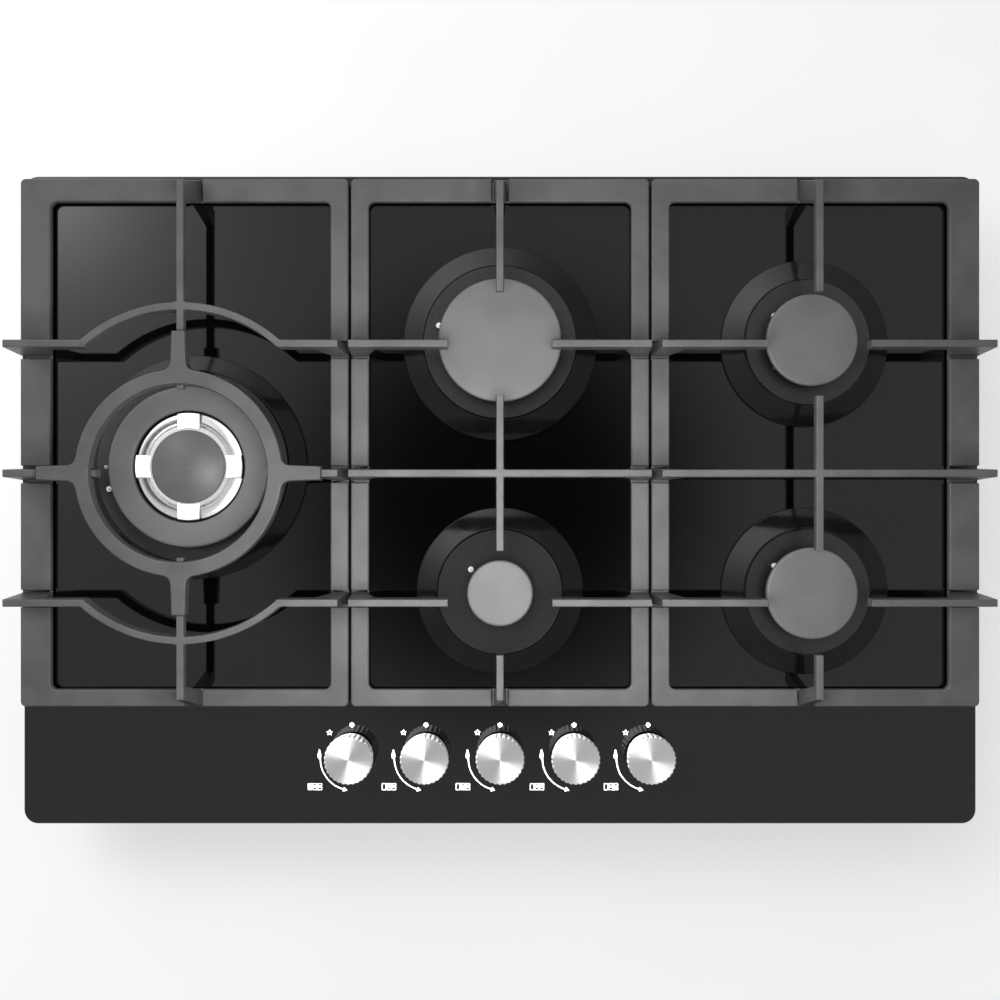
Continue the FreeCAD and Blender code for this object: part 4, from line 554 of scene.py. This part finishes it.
def rounded(corners, arc_step=12.0):
    """Line through corners (a, b) or (a, b, radius). An arc's centre lies on the corner's
    bisector, radius / sin(half the corner's angle) away. It touches both sides at
    run = radius / tan(half the angle) from the corner, and the extra points lie at HOLD * run."""
    spots = [np.array(corner[:2], float) for corner in corners]
    line = []
    for i, corner in enumerate(corners):
        radius = corner[2] if len(corner) > 2 else 0.0
        if not radius:
            line.append(spots[i])
            continue
        back = spots[i - 1] - spots[i]
        ahead = spots[(i + 1) % len(spots)] - spots[i]
        back, ahead = back / np.linalg.norm(back), ahead / np.linalg.norm(ahead)
        half = math.acos(np.clip(back @ ahead, -1.0, 1.0)) / 2
        run = radius / math.tan(half)
        bisector = (back + ahead) / np.linalg.norm(back + ahead)
        centre = spots[i] + bisector * radius / math.sin(half)
        first, last = spots[i] + back * run - centre, spots[i] + ahead * run - centre
        start = math.atan2(first[1], first[0])
        sweep = (math.atan2(last[1], last[0]) - start + math.pi) % (2 * math.pi) - math.pi
        count = max(3, 1 + int(abs(math.degrees(sweep)) / arc_step))
        angles = start + sweep * np.linspace(0, 1, count)
        line.append(spots[i] + back * run * HOLD)
        line.extend(centre + radius * np.stack([np.cos(angles), np.sin(angles)], -1))
        line.append(spots[i] + ahead * run * HOLD)
    return np.array(line)


def turned(outline, centre, segments):
    """Grid of an outline (radius, height) carried round the vertical through centre: row i is the
    outline turned by i whole steps of 360 / segments degrees."""
    angle = 2 * np.pi * np.arange(segments) / segments
    radius, height = np.asarray(outline).T
    x = centre[0] + np.outer(np.cos(angle), radius)
    y = centre[1] + np.outer(np.sin(angle), radius)
    return np.stack([x, y, np.tile(height, (segments, 1))], -1)


def grid_faces(rows, columns, wrap_columns):
    """Quads between neighbouring points of a grid. Its rows go once round and the last joins the
    first; wrapped columns do the same."""
    i, j = np.meshgrid(np.arange(rows), np.arange(columns if wrap_columns else columns - 1),
                       indexing="ij")
    down, across = (i + 1) % rows, (j + 1) % columns
    corners = [i * columns + j, i * columns + across, down * columns + across, down * columns + j]
    return np.stack(corners, -1).reshape(-1, 4)


def outward(mesh, join=0.0):
    """Turn a mesh's faces outward, after joining the points that are closer than join."""
    work = bmesh.new()
    work.from_mesh(mesh)
    if join:
        bmesh.ops.remove_doubles(work, verts=work.verts, dist=join)
    bmesh.ops.recalc_face_normals(work, faces=work.faces)
    work.to_mesh(mesh)
    work.free()


def surface(name, grid, wrap_columns=False, turning=False):
    """Object from a grid of points. Points that fall together, as at a pole, are joined, and
    faces are turned outward. With turning, a UV map holds (along the outline, round the axis)."""
    rows, columns = grid.shape[:2]
    faces = grid_faces(rows, columns, wrap_columns)
    mesh = bpy.data.meshes.new(name)
    mesh.from_pydata(grid.reshape(-1, 3).tolist(), [], faces.tolist())
    if turning:
        corner = faces.ravel()
        uv = np.stack([(corner % columns) / columns, (corner // columns) / rows], -1)
        wrapped = (faces[:, [3]] < faces[:, [0]]).repeat(4, 1).ravel() & (corner < columns)
        uv[wrapped, 1] = 1.0
        mesh.uv_layers.new(name="turning").data.foreach_set("uv", uv.astype(np.float32).ravel())
    outward(mesh, join=1e-7)
    mesh.shade_smooth()
    return placed(name, mesh)


def capped_surface(name, grid):
    """Closed surface from rings: row = place round the ring, column = ring from low to high; the
    first and the last ring are closed with one flat face each."""
    rows, columns = grid.shape[:2]
    faces = grid_faces(rows, columns, False).tolist()
    faces.append([i * columns for i in range(rows)])
    faces.append([i * columns + columns - 1 for i in range(rows)])
    mesh = bpy.data.meshes.new(name)
    mesh.from_pydata(grid.reshape(-1, 3).tolist(), [], faces)
    outward(mesh)
    mesh.shade_smooth()
    return placed(name, mesh)


# %% [markdown]
# ## Dishes
# Every burner stands in a dish pressed from one thin sheet and enamelled. Its outline is closed,
# so carrying it round makes a ring with a top, an underside and a bore for the burner's base. The
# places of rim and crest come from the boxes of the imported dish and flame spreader.

# %% Enamelled dishes
DISH_BORE = 22 * MM


def dish(name):
    """Pressed sheet: a rolled rim on the glass, a straight cone up to a crest, and the step inside
    it that carries the flame spreader. Its flat land has the burner's bore in the middle."""
    low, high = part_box(name + "_dish")
    skirt_low, skirt_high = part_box(name + "_spreader")
    outer, skirt = (high.x - low.x) / 2, (skirt_high.x - skirt_low.x) / 2
    sheet, step, rim = 1.5 * MM, 1.5 * MM, 2.6 * MM
    crest, wall, top = skirt + step, skirt - step, high.z
    outline = [(outer, low.z, 0.3 * MM), (outer, low.z + rim, 1.3 * MM), (crest, top, 1.4 * MM),
               (wall, top, 0.5 * MM), (wall, low.z + sheet, 0.8 * MM), (DISH_BORE, low.z + sheet),
               (DISH_BORE, low.z), (wall + sheet, low.z), (wall + sheet, top - sheet),
               (crest, top - sheet), (outer - sheet, low.z + rim - sheet / 2),
               (outer - sheet, low.z)]
    grid = turned(rounded(outline), CENTRE[name], 288)
    return stand_in(surface("pressed_%s_dish" % name, grid, wrap_columns=True), name + "_dish")


for name in BURNERS:
    dish(name)

# %% [markdown]
# ## Caps
# A cap is a solid disc with a ring underneath that centres it in the flame spreader. Four caps
# are plain discs with a rounded rim and a top that rises by a third of a millimetre. The wok
# burner has two: a flat ring outside and a dome inside, and the dome is part of a sphere.

# %% Burner caps
RIB_DEPTH, RIB_WALL, CHAMFER, CAP_EDGE, SMALL = 3 * MM, 2 * MM, 1.2 * MM, 1.9 * MM, 0.4 * MM
RIB = {"rear_centre": 36.4 * MM, "front_centre": 16.9 * MM, "rear_right": 25.9 * MM,
       "front_right": 25.9 * MM, "wok_outer": 53.8 * MM, "wok_inner": 24.4 * MM}


def underside(radius, rib, low):
    """Corners under a cap, from inside out: the ring of outer radius rib that reaches down to
    low, then the rim's chamfer."""
    under = low + RIB_DEPTH
    return [(rib - RIB_WALL, under), (rib - RIB_WALL, low), (rib, low), (rib, under),
            (radius - CHAMFER, under, SMALL), (radius, under + CHAMFER, SMALL)]


def plain_cap(name):
    """Solid cap, its outline running from the underside's middle to the top's middle."""
    low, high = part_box(CAP_OF[name])
    radius, crown = (high.x - low.x) / 2, 0.35 * MM
    top = [(radius, high.z - crown, CAP_EDGE), (radius * 0.72, high.z - crown / 4),
           (radius * 0.4, high.z - crown / 16), (0, high.z)]
    outline = [(0, low.z + RIB_DEPTH)] + underside(radius, RIB[name], low.z) + top
    grid = turned(rounded(outline), CENTRE[name], 192)
    return stand_in(surface("turned_" + CAP_OF[name], grid), CAP_OF[name])


def wok_outer_cap():
    """Flat ring round the chrome crown."""
    low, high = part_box("wok_outer_cap")
    outer, bore = (high.x - low.x) / 2, 43 * MM
    ring = [(bore, low.z + RIB_DEPTH, 0.3 * MM)] + underside(outer, RIB["wok_outer"], low.z)
    ring += [(outer, high.z, CAP_EDGE), (bore, high.z, 1.4 * MM)]
    grid = turned(rounded(ring), CENTRE["wok"], 240)
    return stand_in(surface("turned_wok_outer_cap", grid, wrap_columns=True), "wok_outer_cap")


def wok_inner_cap():
    """Dome on a short straight edge. A dome of radius R and a given rise is part of a sphere of
    radius (R^2 + rise^2) / (2 rise)."""
    low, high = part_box("wok_inner_cap")
    radius, edge, rim = (high.x - low.x) / 2, 2.2 * MM, 0.9 * MM
    under = low.z + RIB_DEPTH
    rise = high.z - under - edge
    sphere = (radius ** 2 + rise ** 2) / (2 * rise)
    tilt = np.linspace(math.asin(radius / sphere), 0.0, 28)[1:]
    dome = [(sphere * math.sin(t), high.z - sphere * (1 - math.cos(t))) for t in tilt]
    dome[-1] = (0.0, high.z)
    corners = [(0, under)] + underside(radius, RIB["wok_inner"], low.z)[:-2]
    corners += [(radius, under, SMALL), (radius, under + edge, rim), dome[0]]
    grid = turned(np.vstack([rounded(corners)[:-1], dome]), CENTRE["wok"], 192)
    return stand_in(surface("turned_wok_inner_cap", grid), "wok_inner_cap", DOME)


for name in BURNERS[1:]:
    plain_cap(name)
wok_outer_cap()
wok_inner_cap()

# %% [markdown]
# ## The chrome crown
# Between the wok burner's two caps lies a chromed ring. A channel runs round it, a shoulder
# slopes down to its rim, and four flat bridges cross both, a quarter turn apart. The ring is
# polished and mirrors the studio, while the bridges have a satin finish.


# %% The chrome crown of the wok burner
def bridge_grid(inner, outer, half_width, low, high, round_off, steps=16):
    """Bridge between two circles, lying along +X: its sides are straight, half_width from its
    axis, and its ends follow the circles, x = sqrt(radius^2 - y^2). Its upper edges are rounded:
    at the angle t of a quarter circle, from 0 to 90 degrees, the outline has shrunk by
    round_off (1 - cos t) and has come within round_off (1 - sin t) of the top."""
    across = np.linspace(-half_width, half_width, steps)
    end, start = (np.stack([np.sqrt(radius ** 2 - across ** 2), across], -1)
                  for radius in (outer, inner))
    outline = np.concatenate([end, start[::-1]])
    axis = outline.mean(0)
    turn = np.linspace(0, np.pi / 2, 5)
    inset = np.concatenate([[0.0], round_off * (1 - np.cos(turn)), [round_off * 1.15]])
    height = np.concatenate([[low], high - round_off + round_off * np.sin(turn), [high]])
    reach = np.abs(outline - axis).max(0)
    rings = []
    for step, z in zip(inset, height):
        ring = axis + (outline - axis) * (1 - np.minimum(step / reach, 1.0))
        rings.append(np.column_stack([ring, np.full(len(ring), z)]))
    return np.stack(rings, 1)


def crown_ring(low, high, rim):
    """Turned ring, from inside out: a floor, a raised wall, a narrow channel and a shoulder that
    falls outward. At the share t of its width it has dropped by fall * t + hollow * sin(pi t)."""
    bore, wall_in, wall_out, shoulder = 8 * MM, 25 * MM, 31.5 * MM, 33 * MM
    start, width, fall, hollow = 33.2 * MM, 8.0 * MM, 2.2 * MM, 0.35 * MM
    floor_top, wall_top, drop = low + 2 * MM, high - 0.4 * MM, high - 2.2 * MM
    slope = [(start + width * t, drop - fall * t - hollow * math.sin(math.pi * t))
             for t in np.linspace(0, 1, 9)[1:-1]]
    outline = [(bore, low), (rim, low), (rim, drop - fall, 0.7 * MM)] + slope[::-1]
    outline += [(shoulder, high - 1.9 * MM, 0.5 * MM), (shoulder, floor_top), (wall_out, floor_top),
                (wall_out, wall_top, 0.6 * MM), (wall_in, wall_top, 0.6 * MM),
                (wall_in, floor_top), (bore, floor_top)]
    grid = turned(rounded(outline), CENTRE["wok"], 240)
    piece = surface("turned_wok_inner_crown", grid, wrap_columns=True)
    return stand_in(piece, "wok_inner_crown")


def crown_bridge(number, bridge):
    """The bridge turned by a number of quarter turns: (x cos a - y sin a, x sin a + y cos a)."""
    turn = math.radians(90 * number)
    x, y, z = np.moveaxis(bridge, -1, 0)
    swung_x = CENTRE["wok"][0] + x * math.cos(turn) - y * math.sin(turn)
    swung_y = CENTRE["wok"][1] + x * math.sin(turn) + y * math.cos(turn)
    piece = capped_surface("crown_bridge_%d" % number, np.stack([swung_x, swung_y, z], -1))
    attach(piece, BODY_OF["wok_inner_crown"])
    piece.data.materials.append(SATIN_CHROME)
    BRIGHT_PIECES.objects.link(piece)
    return piece


CROWN_RIM = 41.4 * MM
CROWN_LOW, CROWN_TOP = (corner.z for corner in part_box("wok_inner_crown"))
crown_ring(CROWN_LOW, CROWN_TOP, CROWN_RIM)
BRIDGE = bridge_grid(29 * MM, CROWN_RIM, half_width=8.8 * MM, low=CROWN_LOW + 1 * MM,
                     high=CROWN_TOP, round_off=0.8 * MM)
bridges = [crown_bridge(number, BRIDGE) for number in range(4)]
print("bridges", len(bridges), "faces each", len(bridges[0].data.polygons))

# %% [markdown]
# ## Knobs
# A knob is a hollow turned cup whose rim is drawn in at thirty shallow flutes. The flutes are one
# more term in the surface's formula: near the rim, the radius shrinks by a depth times a power of
# a cosine wave round the axis, which gives broad lobes with narrow valleys. The wall leans in
# towards the glass, so that the lens sees little of it. The spun face needs a direction to be
# brushed in, so the surface carries a map whose first axis runs along the outline.

# %% Fluted knobs
FLUTES, FLUTE_DEPTH, FLUTE_STEPS, FLUTE_POWER = 30, 0.75 * MM, 8, 1.6


def knob_outline(low, high, radius):
    """Corners from the closed end of the spindle's bore, down it and up round the hub, through
    the hollow, up the leaning wall and over the slightly dished face to its middle."""
    bore, hub, hub_foot, roof, undercut = 3.05 * MM, 6 * MM, low + 4 * MM, high - 5 * MM, 1.9 * MM
    return [(0, roof - 1 * MM), (bore, roof - 1 * MM), (bore, hub_foot), (hub, hub_foot),
            (hub, roof), (15.2 * MM, roof), (15.4 * MM, low), (radius - undercut, low, 0.5 * MM),
            (radius - 0.2 * MM, roof, 2.0 * MM), (radius - 0.3 * MM, high, 0.8 * MM),
            (15.0 * MM, high - 0.02 * MM), (8.0 * MM, high - 0.06 * MM), (0, high - 0.09 * MM)]


def knob(number, centre, radius=19 * MM):
    """Turned cup with flutes. With r the radius of a point and a its angle round the axis, r
    shrinks by FLUTE_DEPTH * (0.5 + 0.5 cos(FLUTES a)) ** FLUTE_POWER * s. Here s = n^2 (3 - 2 n)
    and n rises from 0 to 1 over the millimetre that starts 2.1 mm inside the rim."""
    low, high = (corner.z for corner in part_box("knob_%d" % number))
    segments = FLUTES * FLUTE_STEPS
    grid = turned(rounded(knob_outline(low, high, radius)), (0.0, 0.0), segments)
    r = np.hypot(grid[..., 0], grid[..., 1])
    angle = 2 * np.pi * np.arange(segments) / segments
    valley = (0.5 + 0.5 * np.cos(FLUTES * angle)) ** FLUTE_POWER
    near_rim = np.clip((r - (radius - 2.1 * MM)) / (1.0 * MM), 0.0, 1.0)
    cut = FLUTE_DEPTH * valley[:, None] * near_rim ** 2 * (3 - 2 * near_rim)
    grid[..., :2] = np.array(centre) + grid[..., :2] * (1.0 - cut / np.maximum(r, MM))[..., None]
    made = surface("fluted_knob_%d" % number, grid, turning=True)
    return stand_in(made, "knob_%d" % number)


for number, centre in enumerate(KNOBS, start=1):
    knob(number, centre)

# %% [markdown]
# ## Symbols on the glass
# Beside each knob are a dot for off, a star for the spark, a flame with a curved arrow for how far
# the flame opens, and a small plan of the five burners with the knob's own burner filled in. They
# are fired white enamel, so each is a film a few hundredths of a millimetre thick on the glass. The
# whole set of a knob's marks sits a little nearer the front than the knob's own axis.


# %% Films of white enamel
FILM = 0.04 * MM
SYMBOL_SHIFT = -3.8 * MM


def film(outlines):
    """Points and faces of closed films from flat outlines (n x 2 arrays): each becomes a plate
    with a top at FILM over the glass, a base on it and a wall between them."""
    points, faces = [], []
    for outline in outlines:
        n, start = len(outline), len(points)
        for height in (GLASS_TOP + FILM, GLASS_TOP):
            points += [(x, y, height) for x, y in outline]
        faces.append(list(range(start, start + n)))
        faces.append(list(range(start + 2 * n - 1, start + n - 1, -1)))
        for i in range(n):
            after = (i + 1) % n
            faces.append([start + n + i, start + n + after, start + after, start + i])
    return points, faces


def around(angles, radius):
    """Points (radius cos a, radius sin a) at angles in radians."""
    return np.stack([radius * np.cos(angles), radius * np.sin(angles)], -1)


def rectangle(x, y, width, height):
    """Four corners from the lower left, anticlockwise."""
    return np.array([(x, y), (x + width, y), (x + width, y + height), (x, y + height)])


def stroke(line, width, closed):
    """Quads that draw a line of one width. Neighbouring quads meet on the corner's bisector, at
    width / 2 / cos(half the corner's turn) from the line."""
    line = np.asarray(line, float)
    if closed:
        before, after = np.roll(line, 1, 0), np.roll(line, -1, 0)
    else:
        before, after = np.vstack([line[:1], line[:-1]]), np.vstack([line[1:], line[-1:]])
    directions = line - before, after - line
    into, out = (step / np.maximum(np.linalg.norm(step, axis=1, keepdims=True), 1e-12)
                 for step in directions)
    if not closed:
        into[0], out[-1] = out[0], into[-1]
    normal = np.stack([-(into + out)[:, 1], (into + out)[:, 0]], -1)
    normal /= np.linalg.norm(normal, axis=1, keepdims=True)
    square = np.stack([-into[:, 1], into[:, 0]], -1)
    cosine = np.clip(np.sum(normal * square, 1, keepdims=True), 0.4, 1.0)
    aside = normal * width / 2 / cosine
    left, right = line + aside, line - aside
    count = len(line)
    return [np.array([left[i], left[(i + 1) % count], right[(i + 1) % count], right[i]])
            for i in range(count if closed else count - 1)]


def opening_arrow():
    """Arc round the knob from large flame to small, with a triangle at its end."""
    reach, start, end = 24.9, math.radians(178), math.radians(254)
    length, half_width = 3.3, 1.9
    arc = stroke(around(np.linspace(start, end, 30), reach), 0.9, False)
    side = np.array([math.cos(end), math.sin(end)])
    ahead = np.array([-math.sin(end), math.cos(end)])
    point = reach * side
    head = np.array([point + ahead * length, point + side * half_width, point - side * half_width])
    return arc + [head]


def flame():
    """Band between an outer drop and the same drop at a third of its size. At the angle a from its
    tip the drop is half_width sin(a) (0.35 + 0.65 (1 - cos a) / 2) wide and half_height cos(a)
    high."""
    half_width, half_height, place = 1.9, 3.8, (-25.6, 3.6)
    angle = np.linspace(0, 2 * np.pi, 28, endpoint=False)
    belly = half_width * np.sin(angle) * (0.35 + 0.65 * (1 - np.cos(angle)) / 2)
    outer = np.stack([belly, half_height * np.cos(angle)], -1)
    inner = 0.34 * outer + (0.0, -1.6) + place
    outer = outer + place
    return [np.array([outer[i - 1], outer[i], inner[i], inner[i - 1]]) for i in range(len(outer))]


def burner_plan(number):
    """Five cells laid out like the burners, the knob's own cell filled and the others drawn as
    lines inside their outline."""
    left, low, wok_wide, wide, tall, gap, line = -34.7, -24.6, 3.3, 3.55, 2.45, 0.35, 0.5
    cells = [rectangle(left, low, wok_wide, 2 * tall + gap)]
    for column in (0, 1):
        for row in (1, 0):
            x = left + wok_wide + gap + column * (wide + gap)
            cells.append(rectangle(x, low + row * (tall + gap), wide, tall))
    marks = []
    for index, cell in enumerate(cells, start=1):
        inset = np.sign(cell - cell.mean(0)) * line / 2
        marks += [cell] if index == number else stroke(cell - inset, line, True)
    return marks


def symbols(number, centre):
    """All the marks of one knob, drawn in millimetres from the knob's axis, then moved to it and
    by SYMBOL_SHIFT along Y."""
    dot = around(2 * np.pi * np.arange(40) / 40, 1.75) + (0.0, 26.6)
    points = np.arange(10)
    star = around(np.radians(90 + 36 * points), np.where(points % 2 == 0, 2.0, 1.0))
    marks = [dot] + stroke(star + (-17.7, 20.6), 0.5, True)
    marks += opening_arrow() + flame() + burner_plan(number)
    return [mark * MM + np.array(centre) + (0.0, SYMBOL_SHIFT) for mark in marks]


WHITE_INK = dull("fired_white_enamel", (0.80, 0.80, 0.79), (0.88, 0.88, 0.87),
                 0.35, 2500.0, 0.00001)
for number, centre in enumerate(KNOBS, start=1):
    points, faces = film(symbols(number, centre))
    mesh = bpy.data.meshes.new("symbols_%d" % number)
    mesh.from_pydata(points, [], faces)
    outward(mesh)
    mesh.materials.append(WHITE_INK)
    prints = placed("symbols_%d" % number, mesh)
    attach(prints, "root")
    IRON_PIECES.objects.link(prints)
print("symbols for", len(KNOBS), "knobs")

# %% [markdown]
# ## The floor
# The photograph's background is almost white, with a soft shadow round the cooktop. A sheet of
# pale paper lies under everything: its own glow lifts the background to white, and what it
# reflects on top of that carries the shadow. It belongs to the stage and not to the part.

# %% Floor
FLOOR_HALF, FLOOR_GREY, FLOOR_GLOW = 30.0, 0.36, 0.53
floor_mesh = bpy.data.meshes.new("studio_floor")
corners = [(-1, -1), (1, -1), (1, 1), (-1, 1)]
floor_mesh.from_pydata([(x * FLOOR_HALF, y * FLOOR_HALF, 0.0) for x, y in corners], [],
                       [(0, 1, 2, 3)])
floor = placed("studio_floor", floor_mesh)
paper, tree, shader, where = finish("pale_paper", (FLOOR_GREY,) * 3, 0.9)
tint(tree, shader, noise(tree, where, 3.0), (FLOOR_GREY - 0.01,) * 3, (FLOOR_GREY + 0.01,) * 3)
shader.inputs["Emission Color"].default_value = (1.0, 1.0, 1.0, 1.0)
shader.inputs["Emission Strength"].default_value = FLOOR_GLOW
floor_mesh.materials.append(paper)
print("floor", 2 * FLOOR_HALF, "m wide")
